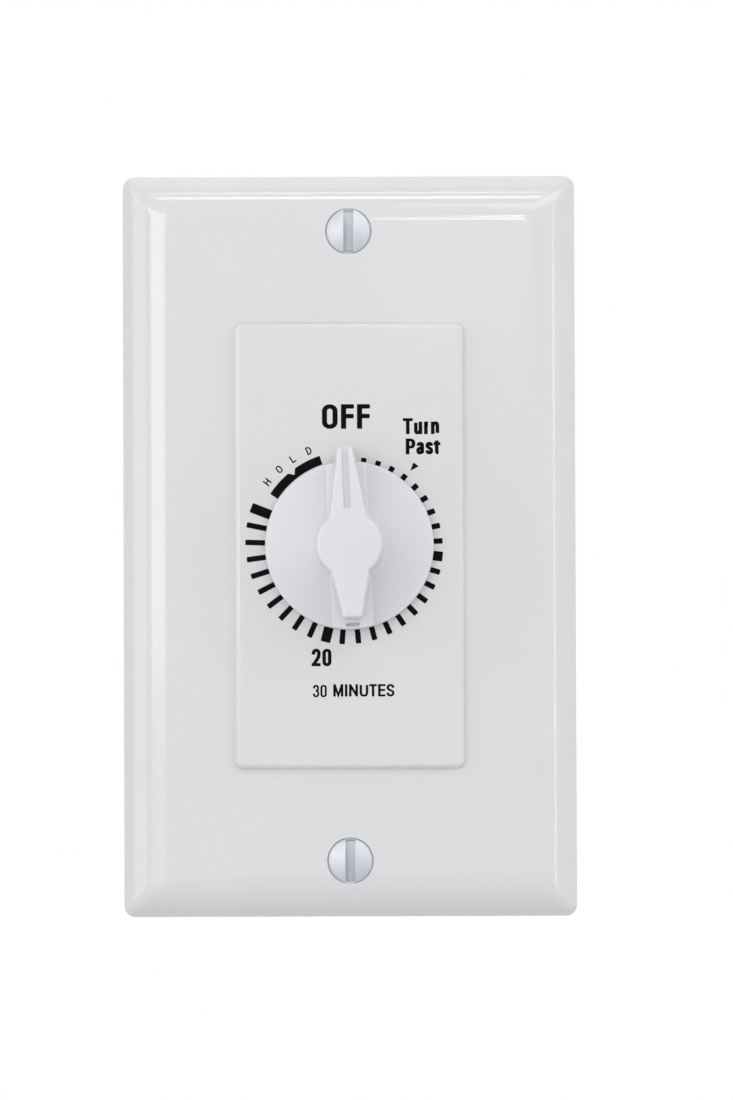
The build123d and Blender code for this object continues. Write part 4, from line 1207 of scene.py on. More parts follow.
@dataclass
class ScrewPair:
    """Two equal screws above and below the shaft: each a slotted head and a thread."""

    shelf: FinishShelf
    name: str
    place: float
    head: SlottedHead
    thread_start: float
    end: float

    def add(self, *nodes: str) -> Object:
        """Adds both screws in place of CAD nodes.

        Args:
            nodes: The nodes.

        Returns:
            The piece.
        """
        # The second finish is the slot floor's zinc, painted darker as shade in the slot.
        finishes = [self.shelf.get("zinc_bright"), self.shelf.get("shaded_slot_zinc")]
        meshes = []
        for side in (1, -1):
            centre = (0.0, side * self.place)
            meshes.append(self.head.build(f"{self.name}_head", centre))
            name = f"{self.name}_thread"
            meshes.append(Thread().build(name, centre, self.thread_start, self.end, finishes[0]))
        return add_piece(self.name, joined(self.name, meshes), finishes, "case", "bright_zinc", *nodes)


@dataclass
class PlateScrews:
    """The two slotted oval head screws that hold the wall plate."""

    shelf: FinishShelf
    place: float = 48.42
    head_radius: float = 3.45
    front: float = -6.5
    seat: float = -5.75
    seat_edge: float = 0.12
    cone_back: float = -3.85
    shank: float = 1.75
    shank_back: float = -3.0
    thread_start: float = -3.05
    end: float = 6.25
    slot_width: float = 1.5
    slot_depth: float = 1.3
    steps: int = 14

    def build(self) -> Object:
        """Builds both screws, heads and threads.

        Returns:
            The piece.
        """
        dome = self.seat - self.front
        ball = (self.head_radius**2 + dome**2) / (2 * dome)
        lean = atan2(self.head_radius, ball - dome)
        turns = [lean * k / self.steps for k in range(self.steps + 1)]
        rows = [(ball * sin(a), self.front + ball * (1 - cos(a))) for a in turns]
        rows += [(self.head_radius, self.seat + self.seat_edge), (self.shank, self.cone_back)]
        rows += [(self.shank, self.shank_back), (0.0, self.shank_back)]
        head = SlottedHead(rows, self.slot_width, self.front + self.slot_depth)
        pair = ScrewPair(self.shelf, "plate_screws", self.place, head, self.thread_start, self.end)
        return pair.add("wall_plate_screws")


@dataclass
class BoxScrews:
    """The two captive pan head screws that hold the strap to the wall box."""

    shelf: FinishShelf
    place: float = 41.67
    head_radius: float = 3.6
    head_round: float = 0.9
    head_front: float = -3.3
    head_back: float = -1.3
    neck_radius: float = 1.4
    neck_lap: float = 0.2
    thread_start: float = 0.45
    end: float = 20.0
    slot_width: float = 1.1
    slot_depth: float = 1.0
    steps: int = 8

    def build(self) -> Object:
        """Builds both screws, heads, necks and threads.

        Returns:
            The piece.
        """
        centre = (self.head_radius - self.head_round, self.head_front + self.head_round)
        neck = self.thread_start + self.neck_lap
        rows = [(0.0, self.head_front), *arc(centre, self.head_round, 270, 360, self.steps)]
        rows += [(self.head_radius, self.head_back), (self.neck_radius, self.head_back)]
        rows += [(self.neck_radius, neck), (0.0, neck)]
        head = SlottedHead(rows, self.slot_width, self.head_front + self.slot_depth, upright=False)
        pair = ScrewPair(self.shelf, "captive_box_screws", self.place, head, self.thread_start, self.end)
        return pair.add("box_screws")


# Knob


@dataclass
class Knob:
    """The pointer knob: skirt, cross rib, forked pointer, tail grip and plain hub."""

    shelf: FinishShelf
    back: float = -7.7
    height: float = 12.4
    skirt: float = 12.9
    skirt_edge: float = 1.5
    skirt_rise: float = 2.6
    skirt_round: float = 0.28
    skirt_break: float = 0.12
    skirt_steps: int = 8
    turn_steps: int = 160
    recess: float = 1.1
    recess_wall: float = 1.2
    hub: float = 5.25
    hub_foot: float = 0.4
    hub_core: float = 1.2
    hub_steps: int = 24
    bore: float = 3.25
    bore_depth: float = 11.0
    bore_steps: int = 96
    rib_width: float = 6.3
    rib_height: float = 3.7
    rib_back: float = 1.2
    rib_gap: float = 0.5
    rib_edge: float = 0.18
    rib_edge_steps: int = 3
    rib_steps: int = 10
    root_width: float = 6.15
    root: float = 4.4
    tip_width: float = 2.85
    pointer_reach: float = 15.0
    tail_width: float = 3.5
    tail_reach: float = 11.4
    tip_round: float = 0.7
    tip_round_least: float = 0.1
    edge: float = 0.42
    groove_width: float = 1.02
    groove_start: float = 5.45
    groove_depth: float = 0.55
    groove_lead: float = 0.1
    notch_place: float = 12.2
    notch_width: float = 0.48
    notch_length: float = 2.0
    notch_depth: float = 0.8
    grip_lap: float = 0.4
    draft: float = 1.5
    lean: float = 2.5
    sharp: float = 32.0

    def skirt_profile(self) -> list[Point2]:
        """The section of the skirt and its socket.

        Returns:
            Radius and depth, once round.
        """
        face = self.back - self.skirt_rise
        top = self.back - self.skirt_edge
        tilt = atan2(self.skirt_rise - self.skirt_edge, self.skirt - self.hub)
        turn = pi / 2 - tilt
        reach = self.skirt_round * tan(turn / 2)
        deep, socket = self.back - self.bore_depth, self.back - self.recess
        inner, outer = self.hub + self.recess_wall, self.skirt - self.recess_wall
        rows = [(0.0, deep), (self.bore, deep), (self.bore, self.back)]
        rows += [(inner, self.back), (inner, socket), (outer, socket), (outer, self.back)]
        rows += [(self.skirt - self.skirt_break, self.back), (self.skirt, self.back - self.skirt_break)]
        for k in range(self.skirt_steps + 1):
            a = turn * k / self.skirt_steps
            across, along = self.skirt_round * (1 - cos(a)), self.skirt_round * sin(a)
            rows.append((self.skirt - across, top + reach - along))
        rows.append((self.hub + self.hub_foot, face + self.hub_foot * tan(tilt)))
        # The core inside the hub only has to stay hidden.
        front = self.back - self.height + CLEAR
        core = self.hub - self.hub_core
        return [*rows, (self.hub - self.hub_core / 2, face - self.hub_foot), (core, front), (0.0, front)]

    def outline(self, inset: float) -> list[Point2]:
        """The round hub with both grips, seen from the front.

        Args:
            inset: How far it is moved inwards.

        Returns:
            Its points once round.
        """
        hub, half = self.hub - inset, self.root_width / 2 - inset
        meet = sqrt(hub**2 - half**2)
        swing = degrees(atan2(meet, half))
        corner = max(self.tip_round - inset, self.tip_round_least)
        grips = ((1, self.tip_width, self.pointer_reach), (-1, self.tail_width, self.tail_reach))
        points: list[Point2] = []
        for side, tip, reach in grips:
            lean = degrees(atan2(self.root_width / 2 - tip / 2, reach - self.root))
            centre = (tip / 2 - inset - corner, reach - inset - corner)
            right = [(half, meet), (half, self.root), *arc(centre, corner, lean, 90, ROUND_STEPS)]
            left = [(-x, z) for x, z in reversed(right)]
            round_hub = arc((0.0, 0.0), hub, 180 - swing, 180 + swing, self.hub_steps)[1:-1]
            points += [(x * side, z * side) for x, z in (*right, *left, *round_hub)]
        return points

    def grips(self) -> Mesh:
        """Hub and grips as one drafted solid with a rounded front edge.

        Returns:
            Its mesh.
        """
        kit = MeshKit()
        front = self.back - self.height
        base = self.back - self.skirt_edge + self.grip_lap
        start = tan(radians(self.draft)) * (base - front - self.edge)
        layers = [(0.0, base), (start, front + self.edge)]
        for k in range(1, ROUND_STEPS + 1):
            a = pi / 2 * k / ROUND_STEPS
            layers.append((start + self.edge * (1 - cos(a)), front + self.edge * (1 - sin(a))))
        kit.capped([kit.level(self.outline(inset), y) for inset, y in layers])
        return kit.mesh("knob_grips")

    def groove(self) -> Mesh:
        """The block that cuts the pointer's groove, with a fine lead-in at its mouth.

        Returns:
            Its mesh.
        """
        front = self.back - self.height
        high = self.pointer_reach + 2 * CLEAR
        kit = MeshKit()
        rings = []
        for grow, y in (
            (0.0, front + self.groove_depth),
            (0.0, front + self.groove_lead),
            (self.groove_lead, front - self.groove_lead / 5),
            (self.groove_lead, front - CLEAR),
        ):
            outline = box_outline(self.groove_width / 2 + grow, self.groove_start - grow, high)
            rings.append(kit.level(outline, y))
        kit.capped(rings)
        return kit.mesh("groove")

    def notch(self) -> Mesh:
        """The block that cuts the lower rib's notch.

        Returns:
            Its mesh.
        """
        kit = MeshKit()
        half, top = self.notch_length / 2, self.back - self.rib_height
        low, high = -self.notch_place - self.notch_width / 2, -self.notch_place + self.notch_width / 2
        kit.prism(box_outline(half, low, high), top + self.notch_depth, top - CLEAR)
        return kit.mesh("notch")

    def rib(self, side: int) -> Mesh:
        """Half of the low rib that runs across the skirt.

        Args:
            side: 1 for the upper half and -1 for the lower.

        Returns:
            Its mesh.
        """
        half, reach = self.rib_width / 2, self.skirt - self.skirt_round / 2
        swing = 90 - degrees(atan2(half, sqrt(reach**2 - half**2)))
        low = self.bore + self.rib_gap
        outline = [*arc((0.0, 0.0), reach, swing, 180 - swing, self.rib_steps), (-half, low), (half, low)]
        outline = [(x * side, z * side) for x, z in outline]
        kit = MeshKit()
        kit.prism(outline, self.back - self.rib_back, self.back - self.rib_height)
        return kit.mesh("knob_rib")

    def build(self) -> Object:
        """Builds the knob in place of the CAD solid, turned as at OFF.

        Returns:
            The piece.
        """
        kit = MeshKit()
        kit.turn(self.skirt_profile(), self.turn_steps)
        low_rib = carved(self.rib(-1), ("DIFFERENCE", self.notch()))
        parts = [softened(rib, self.rib_edge, self.rib_edge_steps) for rib in (self.rib(1), low_rib)]
        parts.append(carved(self.grips(), ("DIFFERENCE", self.groove())))
        deep = self.back - self.bore_depth
        socket = MeshKit()
        socket.turn([(0.0, deep), (self.bore, deep), (self.bore, 0.0), (0.0, 0.0)], self.bore_steps)
        unions = (("UNION", part) for part in parts)
        mesh = carved(kit.mesh("pointer_knob"), *unions, ("DIFFERENCE", socket.mesh("socket")))
        mesh.transform(Matrix.Rotation(radians(-self.lean), 4, "Y"))
        finish = self.shelf.get("knob")
        return add_piece("pointer_knob", shade(mesh, self.sharp), [finish], "dial", "knob_white", "knob")


# Dial print


class Pen(Enum):
    """How a stroke's points are joined."""

    LINE = "straight, with square ends"
    SLANT = "straight, with plain ends"
    CURVE = "smooth through its points"
    RING = "one closed round"


Drawn = tuple[Pen, tuple[Point2, ...]]
Stroke = tuple[list[Point2], list[Point2]]


@dataclass(frozen=True)
class Glyph:
    """A letter or digit: its width in cap heights, its room at both sides and its strokes."""

    width: float
    left: float
    right: float
    strokes: tuple[Drawn, ...]
    rise: float = 1.0


def line(*points: Point2) -> Drawn:
    """A straight stroke."""
    return Pen.LINE, points


def slant(*points: Point2) -> Drawn:
    """A sloping stroke."""
    return Pen.SLANT, points


def curve(*points: Point2) -> Drawn:
    """A smooth stroke."""
    return Pen.CURVE, points


LOW = 0.785  # The small letters' height in cap heights.
RING = (Pen.RING, ())
STEM = line((0, 0), (0, 1))
MIDDLE_STEM = line((0.5, 0), (0.5, 1))
RIGHT_STEM = line((1, 0), (1, 1))
TOP_BAR = line((0, 1), (1, 1))
FOOT_BAR = line((0, 0), (1, 0))
GLYPHS = {
    "O": Glyph(0.65, 0.05, 0.05, (RING,)),
    "0": Glyph(0.535, 0.05, 0.05, (RING,)),
    "F": Glyph(0.53, 0.08, 0.04, (STEM, TOP_BAR, line((0, 0.52), (0.97, 0.52)))),
    "T": Glyph(0.63, 0.02, 0.02, (TOP_BAR, MIDDLE_STEM)),
    "H": Glyph(0.70, 0.08, 0.08, (STEM, RIGHT_STEM, line((0, 0.52), (1, 0.52)))),
    "L": Glyph(0.56, 0.08, 0.02, (STEM, FOOT_BAR)),
    "I": Glyph(0.17, 0.075, 0.075, (MIDDLE_STEM,)),
    "E": Glyph(0.61, 0.075, 0.03, (STEM, TOP_BAR, line((0, 0.53), (0.94, 0.53)), FOOT_BAR)),
    "N": Glyph(0.73, 0.075, 0.075, (STEM, RIGHT_STEM, slant((0, 1), (1, 0)))),
    "M": Glyph(0.82, 0.075, 0.075, (STEM, RIGHT_STEM, slant((0.03, 1), (0.5, 0.03), (0.97, 1)))),
    "U": Glyph(0.71, 0.06, 0.06, (
        curve(
            (0, 1.03), (0, 0.6), (0.01, 0.25), (0.16, 0.04), (0.5, -0.01), (0.84, 0.04), (0.99, 0.25),
            (1, 0.6), (1, 1.03),
        ),
    )),
    "D": Glyph(0.66, 0.08, 0.05, (
        STEM, curve((0, 1), (0.42, 1), (0.82, 0.88), (1, 0.5), (0.82, 0.12), (0.42, 0), (0, 0)),
    )),
    "P": Glyph(0.62, 0.08, 0.02, (
        STEM, curve((0, 1), (0.5, 1), (0.88, 0.93), (1, 0.73), (0.88, 0.52), (0.5, 0.45), (0, 0.45)),
    )),
    "S": Glyph(0.67, 0.04, 0.04, (
        curve(
            (0.97, 0.74), (0.86, 0.93), (0.5, 1.01), (0.14, 0.92), (0.05, 0.74), (0.2, 0.58), (0.5, 0.50),
            (0.84, 0.41), (0.98, 0.25), (0.86, 0.06), (0.5, -0.01), (0.12, 0.08), (0.01, 0.28),
        ),
    )),
    "2": Glyph(0.535, 0.04, 0.04, (
        curve(
            (0.02, 0.70), (0.1, 0.92), (0.5, 1.01), (0.9, 0.92), (0.98, 0.72), (0.86, 0.50), (0.4, 0.22),
            (0.08, 0.02),
        ),
        line((0, 0), (0.97, 0)),
    )),
    "3": Glyph(0.53, 0.04, 0.04, (
        curve(
            (0.02, 0.74), (0.12, 0.93), (0.48, 1.01), (0.86, 0.92), (0.93, 0.76), (0.82, 0.59), (0.42, 0.53),
        ),
        curve((0.42, 0.53), (0.86, 0.46), (0.99, 0.27), (0.88, 0.07), (0.48, -0.01), (0.1, 0.07), (0, 0.27)),
    )),
    "u": Glyph(0.52, 0.05, 0.05, (
        curve((0, 1.04), (0, 0.6), (0.02, 0.2), (0.14, 0.02), (0.42, -0.01), (0.78, 0.08), (1, 0.32)),
        RIGHT_STEM,
    ), LOW),
    "r": Glyph(0.35, 0.06, 0.02, (STEM, curve((0, 0.6), (0.28, 0.88), (0.66, 1), (1.05, 0.99))), LOW),
    "n": Glyph(0.52, 0.06, 0.05, (
        STEM, curve((0, 0.68), (0.22, 0.92), (0.58, 1.01), (0.86, 0.98), (0.98, 0.8), (1, 0.4), (1, -0.04)),
    ), LOW),
    "a": Glyph(0.53, 0.04, 0.03, (
        curve((0.05, 0.74), (0.15, 0.93), (0.48, 1.01), (0.83, 0.94), (0.92, 0.75), (0.92, 0.2), (1, -0.02)),
        curve(
            (0.92, 0.58), (0.5, 0.52), (0.12, 0.43), (0, 0.24), (0.1, 0.05), (0.38, -0.01), (0.75, 0.07),
            (0.92, 0.28),
        ),
    ), LOW),
    "s": Glyph(0.51, 0.03, 0.03, (
        curve(
            (0.95, 0.73), (0.85, 0.93), (0.5, 1.01), (0.14, 0.93), (0.04, 0.75), (0.18, 0.59), (0.5, 0.51),
            (0.84, 0.42), (0.98, 0.25), (0.86, 0.06), (0.5, -0.01), (0.13, 0.07), (0.01, 0.28),
        ),
    ), LOW),
    "t": Glyph(0.40, 0.01, 0.02, (
        curve((0.42, 1.30), (0.42, 0.7), (0.42, 0.22), (0.58, 0.03), (1.15, 0)),
        line((-0.15, 0.97), (1.15, 0.97)),
    ), LOW),
}


@dataclass(frozen=True)
class Word:
    """A printed word: its middle, its width and cap height, its upright and level strokes."""

    text: str
    middle: Point2
    size: Point2
    stem: float
    bar: float
    turn: float = 0.0


@dataclass(frozen=True)
class Lettering:
    """Draws condensed block letters from strokes, as flat outlines."""

    smooth: int = 7
    round_steps: int = 20
    round_share: float = 0.98
    sharpest: float = 0.35
    merge: float = 0.0005
    straight: float = 1.0
    corner_limit: float = 38.0
    corner_steps: int = 3

    @staticmethod
    def between(a: float, b: float, c: float, d: float, t: float) -> float:
        """A number on the smooth way from b to c, the share t along it, with a before and d after."""
        cubic = 3 * (b - c) + d - a
        return b + 0.5 * t * (c - a + t * (2 * a - 5 * b + 4 * c - d + t * cubic))

    def through(self, points: Sequence[Point2]) -> list[Point2]:
        """A smooth line.

        Args:
            points: The points that it passes.

        Returns:
            More points, the first ones among them.
        """
        padded = [points[0], *points, points[-1]]
        made = []
        for row in zip(padded, padded[1:], padded[2:], padded[3:]):
            for k in range(self.smooth):
                made.append(tuple(self.between(*numbers, k / self.smooth) for numbers in zip(*row)))
        return [*made, points[-1]]

    def rails(self, path: Sequence[Point2], width: float, square: bool) -> Stroke:
        """Both sides of a stroke along a line.

        Args:
            path: The line.
            width: The stroke's width.
            square: Whether its ends reach half a width past the line's.

        Returns:
            The points of its left and its right side.
        """
        points = [Vector(p) for p in path]
        if square:
            points[0] += (points[0] - points[1]).normalized() * width / 2
            points[-1] += (points[-1] - points[-2]).normalized() * width / 2
        sides: Stroke = ([], [])
        for index, point in enumerate(points):
            before = (point - points[index - 1]).normalized() if index else None
            after = (points[index + 1] - point).normalized() if index + 1 < len(points) else None
            along = ((before or after) + (after or before)).normalized()
            normal = Vector((-along.y, along.x))
            reach = width / 2 / max(abs(along.dot(before or after)), self.sharpest)
            sides[0].append(tuple(point + normal * reach))
            sides[1].append(tuple(point - normal * reach))
        return sides

    def ring(self, room: Point2, bar: float) -> Stroke:
        """A closed letter's round.

        Args:
            room: Width and height of its centre line.
            bar: The stroke's width.

        Returns:
            The points of its outer and its inner side, whose ends meet.
        """
        sides = []
        for grow in (bar / 2, -bar / 2):
            half_w, half_h = room[0] / 2 + grow, room[1] / 2 + grow
            corner = half_w * self.round_share
            straight = half_h - corner
            loop = []
            for side, start in ((1, 0), (-1, 180)):
                centre = (half_w - grow, room[1] / 2 + side * straight)
                loop += arc(centre, corner, start, start + 180, self.round_steps)
            sides.append([*loop, loop[0]])
        return sides[0], sides[1]

    def stroke(self, pen: Pen, points: Sequence[Point2], room: Point2, bar: float) -> Stroke:
        """One stroke's sides in a room whose strokes are all as thick as its bars.

        Args:
            pen: How the points are joined.
            points: The stroke's points, from 0 to 1 in both directions.
            room: Width and height of the room between the outermost centre lines.
            bar: The stroke's width.

        Returns:
            The points of its left and its right side. A ring's ends meet.
        """
        if pen is Pen.RING:
            return self.ring(room, bar)
        path = [(u * room[0], v * room[1]) for u, v in points]
        if pen is Pen.CURVE:
            path = self.through(path)
        return self.rails(path, bar, pen is Pen.LINE)

    def word(self, word: Word) -> list[list[Stroke]]:
        """Every letter of a word, each as its strokes about the word's middle.

        Args:
            word: The word.

        Returns:
            For each letter its strokes.
        """
        width, cap = word.size
        glyphs = [GLYPHS[letter] for letter in word.text]
        natural = sum(g.width for g in glyphs) + sum(a.right + b.left for a, b in zip(glyphs, glyphs[1:]))
        fit = width / natural
        ratio = word.bar / word.stem
        letters = []
        pen_x = -width / 2
        for index, glyph in enumerate(glyphs):
            pen_x += glyph.left * fit if index else 0.0
            room = ((glyph.width * fit - word.stem) * ratio, glyph.rise * cap - word.bar)
            left, low = pen_x + word.stem / 2, word.bar / 2 - cap / 2
            strokes = []
            for pen, points in glyph.strokes:
                sides = self.stroke(pen, points, room, word.bar)
                strokes.append(tuple([(x / ratio + left, z + low) for x, z in side] for side in sides))
            letters.append(strokes)
            pen_x += (glyph.width + glyph.right) * fit
        return letters

    def solid(self, stroke: Stroke) -> Mesh:
        """A stroke as a closed solid, drawn a thousand times too large for a clean union.

        Args:
            stroke: Its two sides.

        Returns:
            The solid, one unit thick and one unit to the millimetre.
        """
        kit = MeshKit()
        big, thick = 1 / MM, 0.5 / MM
        rings = []
        for (ax, az), (bx, bz) in zip(*([(x * big, z * big) for x, z in side] for side in stroke)):
            rings.append(kit.ring(((ax, -thick, az), (bx, -thick, bz), (bx, thick, bz), (ax, thick, az))))
        if stroke[0][0] == stroke[0][-1]:
            kit.skin(rings)
        else:
            kit.capped(rings)
        return kit.mesh("stroke")

    def letter(self, strokes: Sequence[Stroke], corner: float) -> Mesh:
        """One letter as a single flat solid with softly rounded corners.

        Args:
            strokes: Its strokes.
            corner: The radius of its corners, in millimetres.

        Returns:
            The solid, one unit thick and one unit to the millimetre.
        """
        solids = [self.solid(stroke) for stroke in strokes]
        made = solids[0]
        if len(solids) > 1:
            made = carved(made, *(("UNION", other) for other in solids[1:]))
        shape = bmesh.new()
        shape.from_mesh(made)
        bmesh.ops.remove_doubles(shape, verts=shape.verts, dist=self.merge)
        straight = radians(self.straight)
        bmesh.ops.dissolve_limit(shape, angle_limit=straight, verts=shape.verts, edges=shape.edges)
        upright = [
            edge
            for edge in shape.edges
            if abs(edge.verts[0].co.y - edge.verts[1].co.y) > 0.5
            and edge.is_manifold
            and edge.calc_face_angle() > radians(self.corner_limit)
        ]
        rounding = {"offset": corner, "segments": self.corner_steps, "profile": 0.5, "clamp_overlap": True}
        bmesh.ops.bevel(shape, geom=upright, affect="EDGES", **rounding)
        shape.to_mesh(made)
        shape.free()
        return made


@dataclass
class DialPrint:
    """Everything printed in black on the panel: ticks, HOLD band, words and pointer mark."""

    shelf: FinishShelf
    face: float = -7.2
    lift: float = 0.012
    thickness: float = 0.012
    corner: float = 0.11
    ticks: int = 30
    tick_step: float = 9.71
    tick_inner: float = 12.95
    tick_outer: float = 13.63
    tick_growth: float = 0.0874
    tick_width: float = 0.84
    tick_wide: float = 1.50
    tick_corner: float = 0.14
    tick_corner_steps: int = 4
    wide_every: int = 10
    band_inner: float = 13.1
    band_outer: float = 14.5
    band_start: float = 303.2
    band_end: float = 341.8
    band_steps: int = 78
    notch: float = 322.3
    notch_swing: float = 2.6
    notch_depth: float = 0.8
    mark: tuple[Point2, ...] = ((9.88, 12.72), (10.68, 12.12), (9.40, 11.40))
    words: tuple[Word, ...] = (
        Word("OFF", (-0.47, 19.80), (7.40, 3.78), 0.80, 0.68),
        Word("Turn", (11.06, 18.28), (5.60, 2.46), 0.56, 0.45),
        Word("Past", (11.34, 15.16), (5.26, 2.44), 0.56, 0.45),
        Word("20", (-4.33, -17.19), (3.06, 2.68), 0.55, 0.49),
        Word("30", (-4.61, -22.34), (2.14, 1.90), 0.31, 0.28),
        Word("MINUTES", (2.15, -22.25), (9.40, 1.90), 0.38, 0.32),
        Word("H", (-12.58, 9.77), (0.82, 1.2), 0.21, 0.20, -52.2),
        Word("O", (-10.74, 11.72), (0.84, 1.2), 0.21, 0.20, -42.5),
        Word("L", (-8.66, 13.31), (0.70, 1.2), 0.21, 0.20, -33.0),
        Word("D", (-6.20, 14.57), (0.80, 1.2), 0.21, 0.20, -23.0),
    )

    def ink_back(self) -> float:
        """The depth of the ink's back."""
        return self.face - self.lift + self.thickness

    def tick_mesh(self) -> Mesh:
        """The minute ticks, longer round the dial, with every tenth one wide.

        Returns:
            Their mesh.
        """
        sizes = {
            "Inner Radius": self.tick_inner,
            "Outer Radius": self.tick_outer,
            "Growth": self.tick_growth,
            "Width": self.tick_width,
            "Wide Width": self.tick_wide,
            "Corner": self.tick_corner,
            "Thickness": self.thickness,
        }
        inputs = {"Count": self.ticks, "Step": radians(self.tick_step)}
        tree = GeometryTree("minute_ticks", inputs | {label: size * MM for label, size in sizes.items()})
        inner, outer, growth, width, wide_width, corner, thickness = (tree.given(label) for label in sizes)
        index = tree.value(tree.node("GeometryNodeInputIndex"))
        number = index + 1
        angle = number * tree.given("Step")
        outer = outer + growth * index
        middle = (inner + outer) / 2
        wide = 1 - (number % self.wide_every).above(0.5)
        width = width + (wide_width - width) * wide
        points = tree.node("GeometryNodePoints", inputs={"Count": tree.given("Count")})
        place = tree.vector(middle * angle.sine(), middle * angle.cosine(), 0.0)
        moved = tree.node("GeometryNodeSetPosition", inputs={0: points.outputs[0], "Position": place})
        unit = {0: 1.0, 1: 1.0}
        tick = tree.node("GeometryNodeCurvePrimitiveQuadrilateral", {"mode": "RECTANGLE"}, unit)
        spread = tree.node(
            "GeometryNodeInstanceOnPoints",
            inputs={
                "Points": moved.outputs[0],
                "Instance": tick.outputs[0],
                "Rotation": tree.vector(0.0, 0.0, angle * -1),
                "Scale": tree.vector(width, outer - inner, 1.0),
            },
        )
        real = tree.node("GeometryNodeRealizeInstances", inputs={0: spread.outputs[0]})
        inputs = {"Radius": corner, "Count": self.tick_corner_steps, "Limit Radius": True}
        rounded = tree.node("GeometryNodeFilletCurve", {"mode": "POLY"}, {"Curve": real.outputs[0], **inputs})
        filled = tree.node("GeometryNodeFillCurve", {"mode": "NGONS"}, {0: rounded.outputs[0]})
        inputs = {"Mesh": filled.outputs[0], "Offset Scale": thickness, "Individual": True}
        raised = tree.node("GeometryNodeExtrudeMesh", {"mode": "FACES"}, inputs)
        turned = tree.node("GeometryNodeFlipFaces", inputs={0: filled.outputs[0]})
        made = tree.result(tree.together(raised, turned), self.shelf.get("ink"))
        place = Matrix.Translation((0.0, self.ink_back() * MM, 0.0))
        made.transform(place @ Matrix.Rotation(pi / 2, 4, "X"))
        return tidy_mesh(made)

    def band_outline(self) -> list[Point2]:
        """The outline of the HOLD band with its small notch.

        Returns:
            Its points once round.
        """
        outer, inner = [], []
        for k in range(self.band_steps + 1):
            turn = self.band_start + (self.band_end - self.band_start) * k / self.band_steps
            depth = max(0.0, 1 - abs(turn - self.notch) / self.notch_swing) * self.notch_depth
            for radius, side in ((self.band_outer - depth, outer), (self.band_inner, inner)):
                side.append((radius * sin(radians(turn)), radius * cos(radians(turn))))
        return outer + inner[::-1]

    def plate_of(self, outline: Sequence[Point2]) -> Mesh:
        """A thin closed piece of ink.

        Args:
            outline: Its points once round.

        Returns:
            Its mesh.
        """
        kit = MeshKit()
        depths = (self.ink_back(), self.face - self.lift)
        for y in depths:
            kit.flat([outline], y)
        kit.skin([kit.level(outline, y) for y in depths])
        return kit.mesh("ink")

    def word_meshes(self, word: Word) -> list[Mesh]:
        """A word's letters, turned and set on the panel.

        Args:
            word: The word.

        Returns:
            One mesh for each letter.
        """
        pen = Lettering()
        middle = Vector((word.middle[0], 0.0, word.middle[1])) * MM
        middle.y = (self.face - self.lift + self.thickness / 2) * MM
        place = Matrix.Translation(middle) @ Matrix.Rotation(radians(word.turn), 4, "Y")
        place = place @ Matrix.Diagonal((MM, self.thickness * MM, MM, 1.0))
        meshes = [pen.letter(strokes, min(self.corner, word.bar / 4)) for strokes in pen.word(word)]
        for mesh in meshes:
            mesh.transform(place)
            tidy_mesh(mesh, merge=0.0001)
        return meshes

    def build(self) -> Object:
        """Builds all the print as one piece.

        Returns:
            The piece.
        """
        meshes = [self.tick_mesh(), self.plate_of(self.band_outline()), self.plate_of(self.mark)]
        for word in self.words:
            meshes += self.word_meshes(word)
        mesh = joined("dial_print", meshes)
        return add_piece("dial_print", mesh, [self.shelf.get("ink")], "case", "plate_white")


# CAD nodes


@dataclass
class CadNodes:
    """Gives every CAD node its finish, also those that finer pieces then replace."""

    shelf: FinishShelf
    finishes: dict[str, str] = field(
        default_factory=lambda: {
            "bright_zinc": "zinc_bright",
            "zinc_sheet": "zinc_sheet",
            "turned_steel": "steel",
            "spring_steel": "spring",
            "yellow_brass": "brass",
            "terminal_brass": "strip",
            "housing_black": "phenolic",
            "cam_nylon": "nylon",
            "insulating_fibre": "paper",
            "washer_fibre": "washer",
            "contact_silver": "silver",
            "ground_green": "green",
            "plate_white": "plate",
            "knob_white": "knob",
        }
    )

    def dress(self) -> list[Object]:
        """Puts the finish of each node's record slot on its object.

        Returns:
            The dressed nodes.
        """
        nodes = []
        for part in frame["record"]["subparts"]:
            node = frame["nodes"][part["node"]]
            node.data.materials.clear()
            node.data.materials.append(self.shelf.get(self.finishes[part["material_slot"]]))
            nodes.append(node)
        return nodes


# Studio


def seen_from(right: float, up: float, distance: float) -> Vector:
    """A place in metres, by degrees to the right and up from straight in front of the switch."""
    side, rise = radians(right), radians(up)
    return Vector((sin(side) * cos(rise), -cos(side) * cos(rise), sin(rise))) * distance


@dataclass(frozen=True)
class Softbox:
    """A rectangular studio lamp aimed at the switch, with its distance and size in metres."""

    name: str
    direction: Point2
    distance: float
    size: Point2
    radiance: float

    def build(self) -> None:
        """Adds the lamp."""
        lamp = bpy.data.lights.new(self.name, "AREA")
        lamp.shape = "RECTANGLE"
        lamp.size, lamp.size_y = self.size
        lamp.energy = self.radiance * self.size[0] * self.size[1] * pi
        made = placed(self.name, lamp)
        made.location = seen_from(*self.direction, self.distance)
        made.rotation_euler = (-made.location).to_track_quat("-Z", "Y").to_euler()


